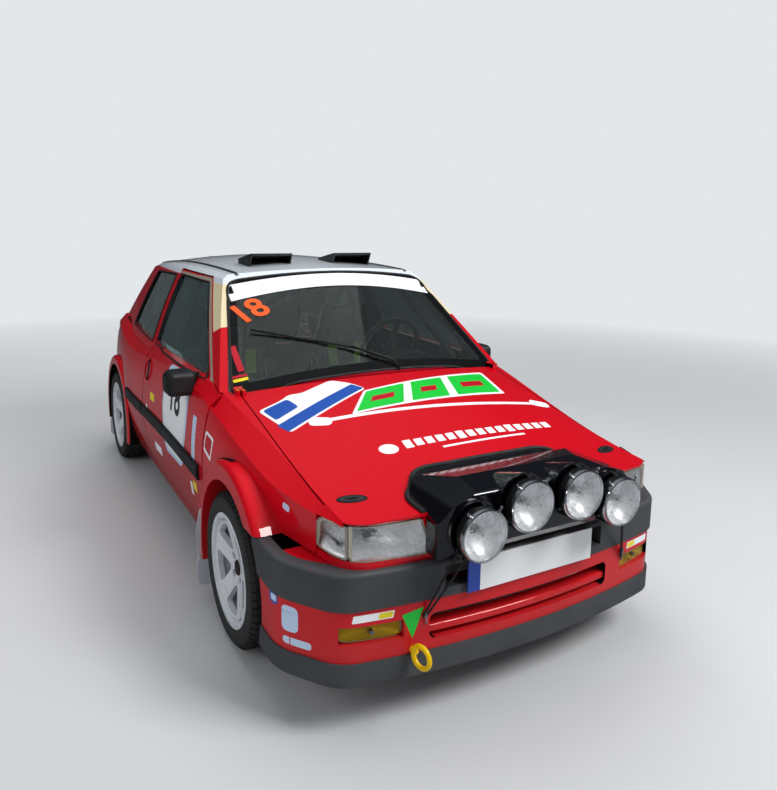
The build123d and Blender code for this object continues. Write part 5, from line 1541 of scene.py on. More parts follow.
@dataclass
class Headlamps:
    """The two headlamps with their clear corner indicators and the pale bars between them."""

    main: tuple[Flat, ...] = ((356, 558), (619, 563), (620, 673.5), (398, 673.5))
    corner: tuple[Flat, ...] = ((625, 566), (668.6, 572), (668.8, 650), (664, 673.5), (625, 673.5))
    bar_x: float = 619.5
    bulb_z: float = 618.0

    def build(self, car: Car) -> None:
        """Make both sides' lamps in place of the plain ones."""
        skin = car.skin("front_lamps")
        parts = []
        for side in Side:
            board = board_ahead(skin, 14)
            for name, outline, bulb_x, depth, flute in (("main", self.main, 512, 100.0, 7.0),
                                                        ("corner", self.corner, 642, 34.0, 6.0)):
                bulb = (side.value * bulb_x, self.bulb_z)
                parts += LampUnit(f"{name}_{side.word}", on_side(side, outline), bulb, depth, flute).build(board)
            path = board.path(((side.value * self.bar_x, 560 + 19 * k) for k in range(7)), 0.5)
            parts.append(sweep(f"bar_{side.word}", path, rectangle(0, 0, 10, 7), LAMP_BEZEL, REARWARD))
        car.add(join_pieces("headlamp_units", parts), Body.ROOT, "front_lamps", "front_lamps")


@dataclass
class FogLamps:
    """Yellow fog lamps with rounded ends."""

    outline: tuple[Flat, ...] = ((462, 310), (659, 315), (660, 363), (464, 365))
    under_mm: float = 298.0
    inset_mm: float = 5.0

    def build(self, car: Car) -> None:
        """Make both in place of the plain ones."""
        skin = car.skin("fog_lamps")
        parts = []
        for side in Side:
            board = board_ahead(skin, 14)
            unit = LampUnit(f"fog_{side.word}", on_side(side, self.outline), (side.value * 560, 338), 34.0, 9.0,
                            FOG_YELLOW, FOG_BOWL, 2.0, 20.0, 2.0)
            parts += unit.build(board)
        lamps = join_pieces("fog_lamp_units", parts)
        self.follow_bumper(lamps, board_ahead(car.skin("front_bumper")))
        car.add(lamps, Body.ROOT, "fog_lamps", "fog_lamps")

    def follow_bumper(self, lamps: Piece, board: Projector) -> None:
        """Bend the lamps back round the bumper's corner, so that each lens is flush with the skin under it."""
        flat = min(v.co.y for v in lamps.data.vertices)
        for vertex in lamps.data.vertices:
            skin = board.spot(vertex.co.x / MM, self.under_mm, 0.0)
            vertex.co.y += skin.y + self.inset_mm * MM - flat


@dataclass
class PodLamps:
    """Four round driving lamps: black bowls, chrome rings, domed lenses, clamp screws and the pod's straps."""

    lamps: tuple[tuple[float, float], ...] = ((-283, 661), (-105, 718), (105, 718), (283, 661))
    back_station: float = -46.3
    shell: tuple[Flat, ...] = ((0, 1), (30, 2), (58, 8), (76, 22), (83, 40), (83.6, 58), (80, 58), (79, 42),
                               (72, 26), (54, 12), (28, 6), (0, 5))
    ring: tuple[Flat, ...] = ((78, 56), (83.9, 56), (84, 62), (81.5, 68), (77.5, 69), (76, 65), (77, 60))
    bowl: tuple[Flat, ...] = ((77, 60), (70, 44), (56, 28), (38, 17), (18, 12), (17, 9), (40, 13), (60, 24), (74, 40),
                              (79, 56))
    screw_angles: tuple[float, ...] = (52.0, 128.0)

    def build(self, car: Car) -> None:
        """Make the lamps, their screws and the straps."""
        parts = []
        screws = []
        for number, (x, z) in enumerate(self.lamps):
            origin = place(x, self.back_station, z)
            parts += self.lamp(f"pod_lamp_{number}", origin)
            for angle in self.screw_angles:
                out = Vector((math.cos(math.radians(angle)), 0, math.sin(math.radians(angle))))
                screws.append((origin + out * 82 * MM - REARWARD * 60 * MM, out))
        car.add(join_pieces("pod_lamp_units", parts), Body.BONNET, "pod_lamps", "pod_lamps")
        head = lathe("clamp_screw", ((0, 20), (4, 19), (5, 16), (5, 11), (3, 10), (3, 4), (6, 3), (6, 0), (0, 0)),
                     Vector(), UPWARD, CHROME, 12)
        made = Repeat("clamp_screws_tree", head, CHROME).on_points("clamp_screws", screws)
        bpy.data.objects.remove(head)
        car.add(made, Body.BONNET, "pod_lamps")
        self.straps(car)

    def lamp(self, name: str, origin: Vector) -> list[Piece]:
        """One lamp, built along its own axis.

        Args:
            name: The lamp's name.
            origin: The middle of its back.

        Returns:
            Its pieces.
        """
        ahead = -REARWARD
        pieces = []
        dome = [(78 * math.cos(math.radians(a)), 63 + 15 * math.sin(math.radians(a))) for a in range(0, 91, 10)]
        inside = [(max(0.0, radius - 1), along - 3) for radius, along in reversed(dome)]
        for part, profile, finish, segments in (
            ("shell", self.shell, SATIN_BLACK, 56), ("ring", self.ring + self.ring[:1], CHROME, 56),
            ("bowl", self.bowl + self.bowl[:1], REFLECTOR, 56), ("lens", dome + inside + dome[:1], LAMP_CLEAR, 56),
            ("bulb", ((0, 46), (5, 45), (6, 40), (6, 12), (0, 12)), ZINC, 20),
        ):
            pieces.append(lathe(f"{name}_{part}", profile, origin, ahead, finish, segments))
        bar = [origin + ACROSS * x * MM + ahead * (38 + 14 * (abs(x) / 70) ** 2) * MM for x in range(-68, 69, 17)]
        pieces.append(sweep(f"{name}_bar", bar, rectangle(0, 0, 2, 7), REFLECTOR, UPWARD))
        return pieces

    def straps(self, car: Car) -> None:
        """Rubber straps from the pod to the bumper's slots, with their hooks."""
        skin = car.skin("front_bumper", "bumper_trim", "front_panel", "lamp_pod")
        board = board_ahead(skin, 20)
        parts = []
        for top, foot in (((-330, 596), (-398, 366)), ((366, 596), (470, 350))):
            for spread in (-5, 5):
                side = Vector((spread, 0))
                line = (Vector(top).lerp(Vector(foot), k / 18) + side for k in range(19))
                smooth = self.taut(board.path(line, 5.0))
                parts.append(sweep("strap", smooth, round_section(3.5, 8), RUBBER, REARWARD))
            end = smooth[-1]
            hook = [end + Vector((0, y, z)) * MM for y, z in ((0, 12), (0, 0), (-4, -18), (3, -26), (7, -20))]
            parts.append(sweep("hook", smooth_path(hook, 4), round_section(2.5, 8), CHROME, REARWARD))
            parts.append(lathe("ferrule", ((0, 0), (7, 0), (7, 20), (0, 20)), end, UPWARD, ZINC, 14))
        car.add(join_pieces("pod_straps", parts), Body.BONNET, "roof_vents")

    def taut(self, path: Sequence[Vector]) -> list[Vector]:
        """The path pulled tight: only the points that stand furthest forward hold it."""
        kept = [path[0]]
        here = 0
        while here < len(path) - 1:
            best = here + 1
            slope = None
            for ahead in range(here + 1, len(path)):
                step = (path[ahead].y - path[here].y) / max(1e-6, (path[ahead] - path[here]).length)
                if slope is None or step <= slope:
                    slope, best = step, ahead
            kept.append(path[best])
            here = best
        return smooth_path(kept, 3) if len(kept) > 2 else kept


@dataclass
class TailLamps:
    """The rear lamps: red lens with an amber and a clear field."""

    fields: tuple[tuple[str, tuple[Flat, ...], Finish], ...] = (
        ("red", ((616, 643), (738, 648), (728, 742), (616, 742)), TAIL_RED),
        ("amber", ((616, 748), (727, 748), (712, 796), (616, 796)), AMBER),
        ("clear", ((616, 802), (710, 802), (694, 833), (618, 833)), LAMP_CLEAR),
    )

    def build(self, car: Car) -> None:
        """Make both in place of the plain ones."""
        skin = car.skin("tail_lamps")
        parts = []
        for side in Side:
            board = board_behind(skin, 12)
            for name, outline, finish in self.fields:
                turned = [(-side.value * u, v) for u, v in outline]
                parts += LampUnit(f"tail_{name}_{side.word}", turned, tuple(middle_of(turned)), 34.0, 6.0, finish,
                                  rim_mm=2.5, corner_mm=6.0).build(board)
        car.add(join_pieces("tail_lamp_units", parts), Body.ROOT, "tail_lamps", "tail_lamps")


@dataclass
class RoadWheels:
    """Treaded tyres, wheel nuts and turned brake discs on the four wheels."""

    track_half: float = 714.0
    tyre_middle: float = 713.5
    radius: float = 288.0
    stations: dict[str, float] = field(default_factory=lambda: {"front": 745.0, "rear": 3130.0})
    half_profile: tuple[Flat, ...] = ((190.5, 70), (192, 77), (199, 80), (203, 83), (205, 84.6), (209, 85.6),
                                      (211, 84.6), (232, 91.4), (250, 90.6), (256, 89.2), (257, 90.2), (260, 89.2),
                                      (267, 81), (273, 74), (277, 68), (278, 60), (280, 0))
    blocks: tuple[tuple[float, float, float, float, float], ...] = (
        (-84, -72.5, 22, 270, 283), (-72.5, -49, 24, 283, 284.6), (-43, -4, 27, 285, 287.7),
        (4, 43, 27, 287.7, 285), (49, 72.5, 24, 284.6, 283), (72.5, 84, 22, 283, 270),
    )
    pitches: int = 60
    sweep_back: float = 0.025
    bolt_circle: float = 49.0
    bolts: int = 4
    nut: tuple[Flat, ...] = ((0, 45), (5, 44.5), (8.5, 41), (9.6, 38), (9.6, 28), (0, 28))
    disc: tuple[Flat, ...] = ((66, -20.5), (118.6, -20.5), (118.6, -8.5), (66, -8.5), (66, -20.5))

    def build(self, car: Car) -> None:
        """Dress all four wheels."""
        for end, station in self.stations.items():
            for side in Side:
                self.wheel(car, f"{end}_{side.word}", side, station)

    def wheel(self, car: Car, name: str, side: Side, station: float) -> None:
        """One wheel's tyre, nuts and disc.

        Args:
            car: The car.
            name: The wheel's end and side.
            side: Its side.
            station: Its axle's station.
        """
        out = ACROSS * side.value
        middle = place(side.value * self.tyre_middle, station, self.radius)
        hub = place(side.value * self.track_half, station, self.radius)
        parts = [self.carcass(name, middle, out), self.tread(name, self.frame(middle, out))]
        body = f"wheel_{name}"
        car.add(join_pieces(f"tyre_detail_{name}", parts), body, f"tyre_{name}", f"tyre_{name}")
        nut = lathe("wheel_nut", self.nut, Vector(), UPWARD, ZINC, 6)
        turned = self.frame(hub, out) @ Matrix.Rotation(math.radians(45), 4, "Z")
        nuts = Repeat(f"nut_ring_{name}", nut, ZINC).ring(f"wheel_nuts_{name}", turned, self.bolts,
                                                          self.bolt_circle * MM)
        bpy.data.objects.remove(nut)
        car.add(nuts, body, "knuckle_left")
        disc = lathe(f"brake_disc_{name}", self.disc, hub, out, DISC_IRON, 64)
        car.add(disc, body, "knuckle_left")

    def frame(self, middle: Vector, out: Vector) -> Matrix:
        """A space whose Z points out of the car from the wheel's middle."""
        along = REARWARD * out.x
        return Matrix.Translation(middle) @ Matrix((along, UPWARD, out)).transposed().to_4x4()

    def carcass(self, name: str, middle: Vector, out: Vector) -> Piece:
        """The tyre's body with its sidewall rings, as a closed turned form."""
        outer = [(r, -a) for r, a in self.half_profile] + [(r, a) for r, a in reversed(self.half_profile[:-1])]
        inner = [(190.5, 62), (262, 52), (262, -52), (190.5, -62), outer[0]]
        return lathe(f"carcass_{name}", outer + inner, middle, out, TYRE_RUBBER, 96)

    def tread(self, name: str, frame: Matrix) -> Piece:
        """Rows of tread blocks, one pitch of them repeated round the tyre."""
        points: list[Vector] = []
        faces: list[tuple[int, ...]] = []
        for low, high, length, low_top, high_top in self.blocks:
            start = len(points)
            for a, top in ((low, low_top), (high, high_top)):
                for t in (-length / 2, length / 2):
                    lean = self.sweep_back * abs(a)
                    points += [Vector((top - self.radius - 9, t + lean, a)) * MM,
                               Vector((top - self.radius, t * 0.94 + lean, a)) * MM]
            a, b, c, d, e, f, g, h = range(start, start + 8)
            faces += [(a, b, d, c), (e, g, h, f), (a, e, f, b), (c, d, h, g), (b, f, h, d), (a, c, g, e)]
        pitch = new_piece("tread_pitch", points, faces, TREAD_RUBBER, 30)
        made = Repeat(f"tread_{name}", pitch, TREAD_RUBBER).ring(f"tread_blocks_{name}", frame, self.pitches,
                                                                self.radius * MM)
        bpy.data.objects.remove(pitch)
        return made


@dataclass
class OuterTrim:
    """Side mouldings, door handles, mirror glass, bonnet latches, the pod's rubber edge and the black scuttle."""

    moulding_z: float = 523.0
    moulding: tuple[Flat, ...] = ((-3, -34), (7, -33), (12, -27), (14, -14), (14, 14), (12, 27), (7, 33), (-3, 34))
    door_run: Flat = (1168, 2282)
    body_run: Flat = (2304, 2740)
    handle_station: float = 2208.0
    handle_z: Flat = (708, 815)
    latch: tuple[float, float] = (551, 227)
    pod_edge: tuple[Flat, ...] = ((-393, 55), (-393, 150), (-345, 215), (-270, 294), (-120, 297), (120, 297),
                                  (270, 294), (345, 215), (393, 150), (393, 55))
    shelf: tuple[Flat, ...] = ((540, 70), (620, 84), (680, 112), (722, 160), (744, 230), (748, 320), (640, 320),
                               (560, 150))

    def build(self, car: Car) -> None:
        """Make every piece of trim."""
        self.shelves(car)
        for side in Side:
            self.mouldings(car, side)
            self.handle(car, side)
            self.mirror(car, side)
        self.latches(car)
        self.pod_edging(car)
        self.scuttle(car)

    def shelves(self, car: Car) -> None:
        """The red ledges that close the space between the bumper's band and the wings."""
        parts = []
        top, foot = range(len(self.shelf)), range(len(self.shelf), 2 * len(self.shelf))
        for side in Side:
            points = [place(side.value * x, s, z) for z in (533, 537) for x, s in self.shelf]
            parts.append(new_piece("ledge", points, [top, foot, *bridge(top, foot)], RED_PAINT))
        car.add(join_pieces("bumper_ledges", parts), Body.ROOT, "front_bumper")

    def mouldings(self, car: Car, side: Side) -> None:
        """The black moulding along the side, split at the door's rear edge."""
        section = on_side(side, self.moulding)
        for name, node, run, body in (("door", f"door_{side.word}", self.door_run, Body.door(side)),
                                      ("rear", f"body_side_{side.word}", self.body_run, Body.ROOT)):
            board = board_beside(side, car.skin(node))
            count = max(2, int((run[1] - run[0]) / 60))
            path = board.path(((side.value * (run[0] + (run[1] - run[0]) * k / count), self.moulding_z)
                               for k in range(count + 1)), 0.0)
            piece = sweep(f"{name}_moulding_{side.word}", path, section, BLACK_PLASTIC, UPWARD, smooth_degrees=30)
            car.add(piece, body, "bumper_trim")

    def handle(self, car: Car, side: Side) -> None:
        """The upright door handle over its dark finger pocket."""
        sign = side.value
        board = board_beside(side, car.skin(f"door_{side.word}"), 12)
        low, high = self.handle_z
        middle = sign * self.handle_station
        pocket = rounded_outline(rectangle(middle, (low + high) / 2, 34, high - low + 12), 14)
        parts = [board.lay("handle_pocket", [pocket], BLACK_PLASTIC, 0.4)]
        path = []
        for k in range(13):
            path += board.path([(middle + sign * 5, low + (high - low) * k / 12)],
                               3 + 15 * math.sin(math.pi * k / 12) ** 0.6)
        grip = rounded_outline(rectangle(0, 0, 18, 8), 4, 3)
        parts.append(sweep("handle_grip", path, grip, RED_PAINT, ACROSS * sign))
        spot = board.spot(middle, low - 40, 0.0)
        if spot is not None:
            parts.append(lathe("door_lock", ((0, 2), (8, 2), (9, 0), (9, -2)), spot, ACROSS * sign, CHROME, 24))
        car.add(join_pieces(f"door_handle_{side.word}", parts), Body.door(side), "door_left")

    def mirror(self, car: Car, side: Side) -> None:
        """The mirror's glass."""
        sign = side.value
        board = Projector(place(0, 1600, 0), -ACROSS, UPWARD, car.skin(f"mirror_{side.word}"), 14)
        outline = rounded_outline([(-sign * u, v) for u, v in ((738, 812), (850, 818), (852, 892), (744, 900))], 16)
        glass = board.lay(f"mirror_glass_{side.word}", [outline], CHROME, 0.8)
        car.add(glass, Body.door(side), "mirror_left")

    def latches(self, car: Car) -> None:
        """Two oval flush latches near the bonnet's front corners."""
        board = board_above(car.skin("bonnet"), 10)
        parts = []
        for side in Side:
            x, station = side.value * self.latch[0], self.latch[1]
            lean = math.radians(18) * side.value
            for name, long_half, short_half, lift, finish in (("plate", 50, 23, 1.6, BLACK_PLASTIC),
                                                              ("bow", 40, 14, 2.6, ZINC),
                                                              ("slot", 26, 6, 3.0, SATIN_BLACK)):
                ring = ellipse(x, station, long_half, short_half, 32, lean)
                parts.append(thicken(board.lay(f"latch_{name}", [ring], finish, lift), board, lift))
        car.add(join_pieces("bonnet_latches", parts), Body.BONNET, "roof_vents")

    def pod_edging(self, car: Car) -> None:
        """The rubber edging where the lamp pod meets the bonnet."""
        board = board_above(car.skin("bonnet"), 10)
        flat = smooth_path([Vector((u, v, 0)) for u, v in self.pod_edge], 6)
        outline = [(p.x, p.y) for p in flat]
        edging = sweep("pod_edging", board.path(outline, 4.0), round_section(7.5), RUBBER, UPWARD)
        car.add(edging, Body.BONNET, "roof_vents")
        flange = board_above(car.skin("bonnet"), 24).lay("pod_flange", [outline], POD_GELCOAT, 2.5)
        car.add(flange, Body.BONNET, "lamp_pod")

    def scuttle(self, car: Car) -> None:
        """The black scuttle cover between the bonnet and the windscreen."""
        board = board_above(car.skin("floor_pan"), 24)
        rear = [(620 * k / 12, 1020 + 95 * (k / 12) ** 2.0) for k in range(-12, 13)]
        front = [(u, v - 60) for u, v in reversed(rear)]
        cover = board.lay("scuttle_cover", [rear + front], BLACK_PLASTIC, 0.6)
        car.add(cover, Body.ROOT, "roof_vents")


@dataclass
class WingTips:
    """The small painted corners over the indicators, between the bonnet's edge and the wings."""

    sections: tuple[tuple[float, tuple[Flat, ...]], ...] = (
        (112, ((637.6, 674.6), (643, 674.6), (637.6, 681))), (156, ((637.6, 674.6), (648, 674.6), (637.6, 686))),
        (234.6, ((637.8, 674.6), (669.6, 674.6), (637.8, 702.8))),
    )

    def build(self, car: Car) -> None:
        """Make both corners as short lofts."""
        parts = []
        for side in Side:
            points = [place(side.value * x, s, z) for s, ring in self.sections for x, z in ring]
            faces = [(0, 1, 2), (6, 7, 8)]
            for j in (0, 3):
                faces += bridge(range(j, j + 3), range(j + 3, j + 6))
            parts.append(new_piece("wing_tip", points, faces, RED_PAINT))
        car.add(join_pieces("wing_tips", parts), Body.ROOT, "front_wing_left")


@dataclass
class FrontFlaps:
    """The tall pale mud flaps behind the front wheels, above the short ones under the sills."""

    thick_mm: float = 4.0
    edge: tuple[Point, ...] = ((668, 1096, 189.8), (818, 1098, 189.8), (826, 1092, 300), (812, 1082, 400),
                               (770, 1074, 428), (690, 1074, 420), (668, 1084, 300))

    def build(self, car: Car) -> None:
        """Make both flaps."""
        for side in Side:
            front = [place(side.value * x, s - self.thick_mm, z) for x, s, z in self.edge]
            rear = [place(side.value * x, s, z) for x, s, z in self.edge]
            count = len(front)
            middle = [sum(ring, Vector()) / count for ring in (front, rear)]
            points = front + rear + middle
            faces = []
            for i in range(count):
                j = (i + 1) % count
                faces += [(i, j, count + j, count + i), (i, 2 * count, j), (count + i, count + j, 2 * count + 1)]
            flap = new_piece(f"front_flap_{side.word}", points, faces, FLAP_PLASTIC)
            car.add(flap, Body.ROOT, "mud_flaps")


@dataclass
class RaceSeat:
    """A bucket seat: a thin moulded shell, padded cloth cushions and a six-point harness."""

    middle_x: float
    spine: tuple[Flat, ...] = ((1618, 448), (1700, 412), (1800, 378), (1900, 346), (1985, 330), (2040, 372),
                               (2062, 470), (2082, 600), (2102, 740), (2118, 860), (2128, 950), (2140, 1066))
    wings: tuple[float, ...] = (40, 90, 115, 140, 190, 215, 200, 170, 120, 84, 96, 70)
    half_widths: tuple[float, ...] = (196, 214, 222, 226, 228, 230, 232, 232, 232, 214, 176, 140)
    pads: tuple[tuple[float, float, float, float, tuple[float, ...]], ...] = (
        (0.3, 3.9, 168, 46, (0.25, 0.5, 0.75)), (5.6, 8.7, 150, 40, (0.2, 0.4, 0.6, 0.8)), (9.3, 10.7, 96, 34, ()))
    bolsters: tuple[Flat, ...] = ((0.6, 3.6), (6.0, 8.4))
    wall_mm: float = 5.0

    def build(self, car: Car, name: str) -> list[Piece]:
        """Make the shell and the harness, and ride the cushions on the body.

        Args:
            car: The car.
            name: Whose seat it is.

        Returns:
            The hard pieces and the straps, not yet joined.
        """
        for number, (first, last, half, thick, channels) in enumerate(self.pads):
            pad = self.cushion(f"seat_pad_{name}_{number}", first, last, -half, half, thick, channels)
            self.keep(car, pad)
        for word, sign in (("out", 1), ("in", -1)):
            for number, (first, last) in enumerate(self.bolsters):
                pad = self.cushion(f"seat_bolster_{name}_{word}_{number}", first, last, sign * 176, sign * 222, 62, ())
                self.keep(car, pad)
        return [self.shell(name)] + self.harness(name)

    def keep(self, car: Car, pad: Piece) -> None:
        """Ride one cushion on the root body."""
        car.add(pad, Body.ROOT, "seats")

    def along(self, t: float) -> tuple[Vector, Vector]:
        """A spine place by its number, with the way that faces the sitter."""
        i = min(int(t), len(self.spine) - 2)
        a, b = Vector(self.spine[i]), Vector(self.spine[i + 1])
        before = Vector(self.spine[max(0, i - 1)])
        after = Vector(self.spine[min(len(self.spine) - 1, i + 2)])
        part = t - i
        spot = catmull_rom(before, a, b, after, part)
        run = ((b - before) * (1 - part) + (after - a) * part).normalized()
        return spot, Vector((-run.y, run.x))

    def point(self, t: float, x_mm: float, rise_mm: float) -> Vector:
        """A point by its place on the spine, its x from the seat's middle and its rise towards the sitter."""
        spot, face = self.along(t)
        spot = spot + face * rise_mm
        return place(self.middle_x + x_mm, spot.x, spot.y)

    def value(self, row: Sequence[float], t: float) -> float:
        """A table's value between two spine places."""
        i = min(int(t), len(row) - 2)
        return row[i] + (row[i + 1] - row[i]) * (t - i)

    def shell(self, name: str) -> Piece:
        """The moulded shell: its floor and back in one curve, with side wings that rise round the sitter."""
        rows, columns = 45, 18
        points: list[Vector] = []
        for j in range(rows):
            t = (len(self.spine) - 1) * j / (rows - 1)
            half, wing = self.value(self.half_widths, t), self.value(self.wings, t)
            for i in range(columns + 1):
                w = -1 + 2 * i / columns
                rise = -34 + (wing + 34) * max(0.0, (abs(w) - 0.5) / 0.5) ** 1.6
                points.append(self.point(t, half * math.sin(w * math.pi / 2), rise))
        shell = new_piece(f"seat_shell_{name}", points, grid_faces(rows - 1, columns), GRP_SHELL, 60)
        wall = shell.modifiers.new("wall", "SOLIDIFY")
        wall.thickness = self.wall_mm * MM
        wall.offset = 0.0
        return baked(shell)

    def cushion(self, name: str, first: float, last: float, left: float, right: float, thick: float,
                channels: Sequence[float]) -> Piece:
        """One crowned cushion with sewn channels across it.

        Args:
            name: The cushion's name.
            first: The spine place where it starts.
            last: The spine place where it ends.
            left: Its left edge's x from the seat's middle, in millimetres.
            right: Its right edge's x.
            thick: Its height at the crown.
            channels: Places of the sewn channels, as shares of its length.

        Returns:
            The closed cushion.
        """
        long_steps, wide_steps = 44, 22
        seam, seam_depth = 0.018, 7
        top: list[Vector] = []
        bottom: list[Vector] = []
        for j in range(long_steps + 1):
            v = -1 + 2 * j / long_steps
            for i in range(wide_steps + 1):
                u = -1 + 2 * i / wide_steps
                pull = 1 - 0.05 * v * v
                t = first + (last - first) * (v * (1 - 0.03 * u * u) + 1) / 2
                x = (left + right) / 2 + (right - left) / 2 * u * pull
                crown = max(0.0, (1 - abs(u) ** 2.6) * (1 - abs(v) ** 3.2)) ** 0.55
                sewn = sum(math.exp(-(((v + 1) / 2 - c) / seam) ** 2) for c in channels)
                dip = sewn * seam_depth * min(1.0, crown * 1.4)
                ripple = 1.2 * math.sin(9 * u + 5 * v) * crown
                side_rise = 26 * abs(x / 200) ** 3 - 24
                top.append(self.point(t, x, side_rise + thick * crown - dip + ripple))
                bottom.append(self.point(t, x, side_rise - 5 * crown))
        faces = [face for up in grid_faces(long_steps, wide_steps)
                 for face in (up, tuple(len(top) + k for k in reversed(up)))]
        return new_piece(name, top + bottom, faces, SEAT_CLOTH, 70)

    def harness(self, name: str) -> list[Piece]:
        """Shoulder, lap and crotch straps that meet at a round buckle."""
        parts = []
        buckle = self.point(3.3, 0, 58)
        for sign in (-1, 1):
            shoulder = [self.point(t, sign * x, rise) for t, x, rise in (
                (8.9, 88, -6), (8.75, 86, 22), (8.2, 84, 26), (7.2, 74, 28), (6.2, 60, 34), (5.2, 44, 52))]
            path = smooth_path(shoulder + [buckle + Vector((sign * 0.018, 0.035, 0.012))], 5)
            parts.append(self.strap(f"shoulder_{name}", path, BELT_WEB, 0.048))
            parts.append(self.strap(f"shoulder_pad_{name}", [p + Vector((0, -0.004, 0.002)) for p in path[3:13]],
                                    LIME_WEB, 0.058))
            lap = [self.point(4.6, sign * 205, 40), self.point(4.2, sign * 180, 52), self.point(3.8, sign * 110, 60)]
            parts.append(self.strap(f"lap_{name}", smooth_path(lap + [buckle + Vector((sign * 0.02, 0.0, 0))], 5),
                                    BELT_WEB, 0.048))
            crotch = [self.point(1.9, sign * 34, 10), self.point(2.4, sign * 28, 48), buckle]
            parts.append(self.strap(f"crotch_{name}", smooth_path(crotch, 5), BELT_WEB, 0.044))
        parts.append(lathe(f"buckle_{name}", ((0, 14), (18, 13), (26, 9), (28, 0), (26, -6), (0, -6)), buckle,
                           Vector((0, -0.35, 1)), ZINC, 32))
        return parts

    def strap(self, name: str, path: Sequence[Vector], finish: Finish, width: float) -> Piece:
        """A flat strap that lies across the car along a path."""
        points: list[Vector] = []
        for i, spot in enumerate(path):
            along = (path[min(i + 1, len(path) - 1)] - path[max(i - 1, 0)]).normalized()
            across = (ACROSS - along * ACROSS.dot(along)).normalized()
            rise = along.cross(across).normalized() * 0.0012
            points += [spot - across * width / 2 - rise, spot + across * width / 2 - rise,
                       spot + across * width / 2 + rise, spot - across * width / 2 + rise]
        rings = [range(i, i + 4) for i in range(0, len(points), 4)]
        faces = [rings[0], rings[-1]] + [face for one, two in zip(rings, rings[1:]) for face in bridge(one, two)]
        return new_piece(name, points, faces, finish)


def baked(piece: Piece) -> Piece:
    """The piece with its modifiers made plain mesh."""
    graph = bpy.context.evaluated_depsgraph_get()
    mesh = bpy.data.meshes.new_from_object(piece.evaluated_get(graph), depsgraph=graph)
    piece.modifiers.clear()
    piece.data = mesh
    return piece


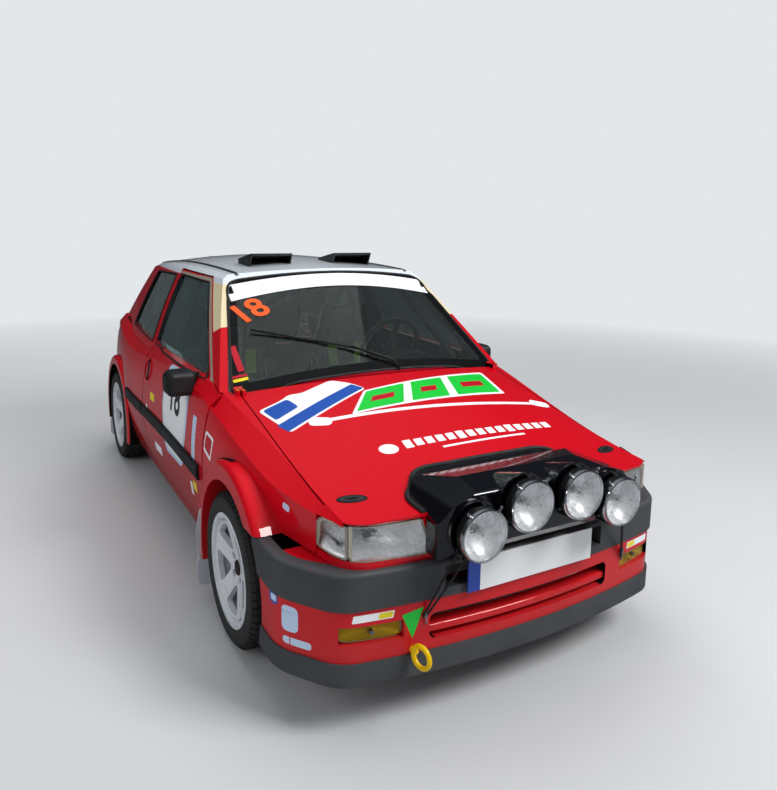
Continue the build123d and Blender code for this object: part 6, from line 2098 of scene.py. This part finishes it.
@dataclass
class Cabin:
    """What shows through the glass: the seats, the steering wheel's centre, the dials and the levers."""

    seat_x: float = 335.0
    wheel_centre: Point = (355.0, 1590.0, 905.0)
    wheel_tilt: float = 24.0
    dials: tuple[tuple[float, float], ...] = ((295, 46), (400, 46))

    def build(self, car: Car) -> None:
        """Make all of it."""
        parts = []
        for side in Side:
            parts += RaceSeat(side.value * self.seat_x).build(car, side.word)
        car.add(join_pieces("seat_shells", parts), Body.ROOT, "seats", "seats")
        self.wheel_boss(car)
        self.instruments(car)
        self.levers(car)

    def wheel_boss(self, car: Car) -> None:
        """The horn push, its ring of screws and the yellow mark at the rim's top."""
        turn = math.radians(self.wheel_tilt)
        back = Vector((0, math.cos(turn), math.sin(turn)))
        centre = place(*self.wheel_centre)
        push = lathe("horn_push", ((0, 20), (16, 19), (24, 15), (26, 6), (26, 0), (0, 0)), centre, back,
                     BLACK_PLASTIC, 40)
        screw = lathe("boss_screw", ((0, 10), (3, 10), (4, 8), (4, 0), (0, 0)), Vector(), UPWARD, ZINC, 10)
        frame = Matrix.Translation(centre) @ back.to_track_quat("Z", "Y").to_matrix().to_4x4()
        ring = Repeat("boss_screws_tree", screw, ZINC).ring("boss_screws", frame, 6, 0.036)
        bpy.data.objects.remove(screw)
        car.add(join_pieces("wheel_boss", [push, ring]), Body.STEERING_WHEEL, "steering_wheel")

    def instruments(self, car: Car) -> None:
        """Two plain dials in a hood before the driver."""
        parts = []
        corners = [Vector((x, y, z)) * MM for z in (0, 1) for x, y in rectangle(3, 0, 6, 2.4)]
        foot, top = range(4), range(4, 8)
        tick = new_piece("dial_tick", corners, [foot, top, *bridge(foot, top)], VINYL_WHITE)
        facing = Vector((0, 1, 0.35)).normalized()
        for number, (x, radius) in enumerate(self.dials):
            centre = place(x, 1404, 862)
            face = ((0, 14), (radius - 6, 14), (radius - 4, 22), (radius, 22), (radius + 1, 0), (0, 0))
            parts.append(lathe(f"dial_{number}", face, centre, facing, BLACK_PLASTIC, 40))
            frame = Matrix.Translation(centre + facing * 0.0145) @ facing.to_track_quat("Z", "Y").to_matrix().to_4x4()
            parts.append(Repeat(f"dial_ticks_tree_{number}", tick, VINYL_WHITE).ring(
                f"dial_ticks_{number}", frame, 24, (radius - 16) * MM))
        bpy.data.objects.remove(tick)
        path = []
        for x in range(218, 479, 20):
            bow = math.cos((x - 348) / 130 * 1.57)
            path.append(place(x, 1388 - 14 * bow, 880 + 32 * bow))
        parts.append(sweep("dial_hood", path, rectangle(0, 0, 110, 6), DASH_PLASTIC, UPWARD))
        car.add(join_pieces("instruments", parts), Body.ROOT, "dashboard")

    def levers(self, car: Car) -> None:
        """The gear lever and the upright hand brake on the tunnel."""
        parts = []
        gear = smooth_path([place(0, 1560, 326), place(4, 1575, 430), place(22, 1600, 560)], 6)
        parts.append(sweep("gear_stick", gear, round_section(6), ZINC, ACROSS))
        parts.append(lathe("gear_knob", ((0, 48), (12, 46), (20, 36), (21, 22), (14, 4), (9, 0), (0, 0)), gear[-1],
                           Vector((0, 0.2, 1)), BLACK_PLASTIC, 24))
        parts.append(lathe("gear_boot", ((60, 0), (45, 18), (30, 40), (16, 70), (8, 85), (0, 85), (0, 0)),
                           place(0, 1560, 330), UPWARD, RUBBER, 24))
        brake = [place(40, 1700, 330), place(40, 1690, 470), place(40, 1700, 610)]
        parts.append(sweep("hand_brake", smooth_path(brake, 6), round_section(9), CHASSIS_BLACK, ACROSS))
        parts.append(lathe("hand_brake_grip", ((0, 130), (12, 128), (15, 120), (14, 0), (0, 0)),
                           place(40, 1696, 560), Vector((0, 0.08, 1)), RUBBER, 20))
        car.add(join_pieces("floor_levers", parts), Body.ROOT, "dashboard")


@dataclass
class Underbody:
    """The coil springs over the front struts, in their pans."""

    wire_mm: float = 6.0
    coil_mm: float = 50.0
    turns: float = 4.2
    ball: Point = (669, 745, 172)
    top: Point = (547, 745, 742)
    pan_rise_mm: float = 428.0
    span_mm: float = 108.0

    def build(self, car: Car) -> None:
        """Make the springs on both steered legs."""
        for side in Side:
            ball, top = (place(side.value * x, station, z) for x, station, z in (self.ball, self.top))
            axis = (top - ball).normalized()
            foot = ball + axis * (self.pan_rise_mm * MM / axis.z)
            span = self.span_mm * MM
            across = axis.cross(REARWARD).normalized()
            other = axis.cross(across).normalized()
            path = []
            for k in range(int(self.turns * 24) + 1):
                angle = 2 * math.pi * k / 24
                path.append(foot + axis * span * k / (self.turns * 24)
                            + (across * math.cos(angle) + other * math.sin(angle)) * self.coil_mm * MM)
            coil = sweep("coil", path, round_section(self.wire_mm, 8), VINYL_YELLOW, axis)
            pan = lathe("spring_pan", ((24, -6), (58, -6), (61, 2), (58, 2), (56, -3), (24, -3), (24, -6)), foot,
                        axis, CHASSIS_BLACK, 36)
            car.add(join_pieces(f"front_spring_{side.word}", [coil, pan]), f"knuckle_{side.word}",
                    "knuckle_left")


def main() -> None:
    """Build the looks of the whole car in order."""
    logging.basicConfig(level=logging.INFO, format="%(name)s: %(message)s")
    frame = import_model()
    car = Car(frame)
    Studio().build()
    BodyPanels().build(car)
    for assembly in (Glazing(), Livery(), Headlamps(), FogLamps(), PodLamps(), TailLamps(), RoadWheels(), OuterTrim(),
                     WingTips(), FrontFlaps(), Cabin(), Underbody()):
        assembly.build(car)
        log.info("%s is built", type(assembly).__name__)
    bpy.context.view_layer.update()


if __name__ == "__main__":
    main()
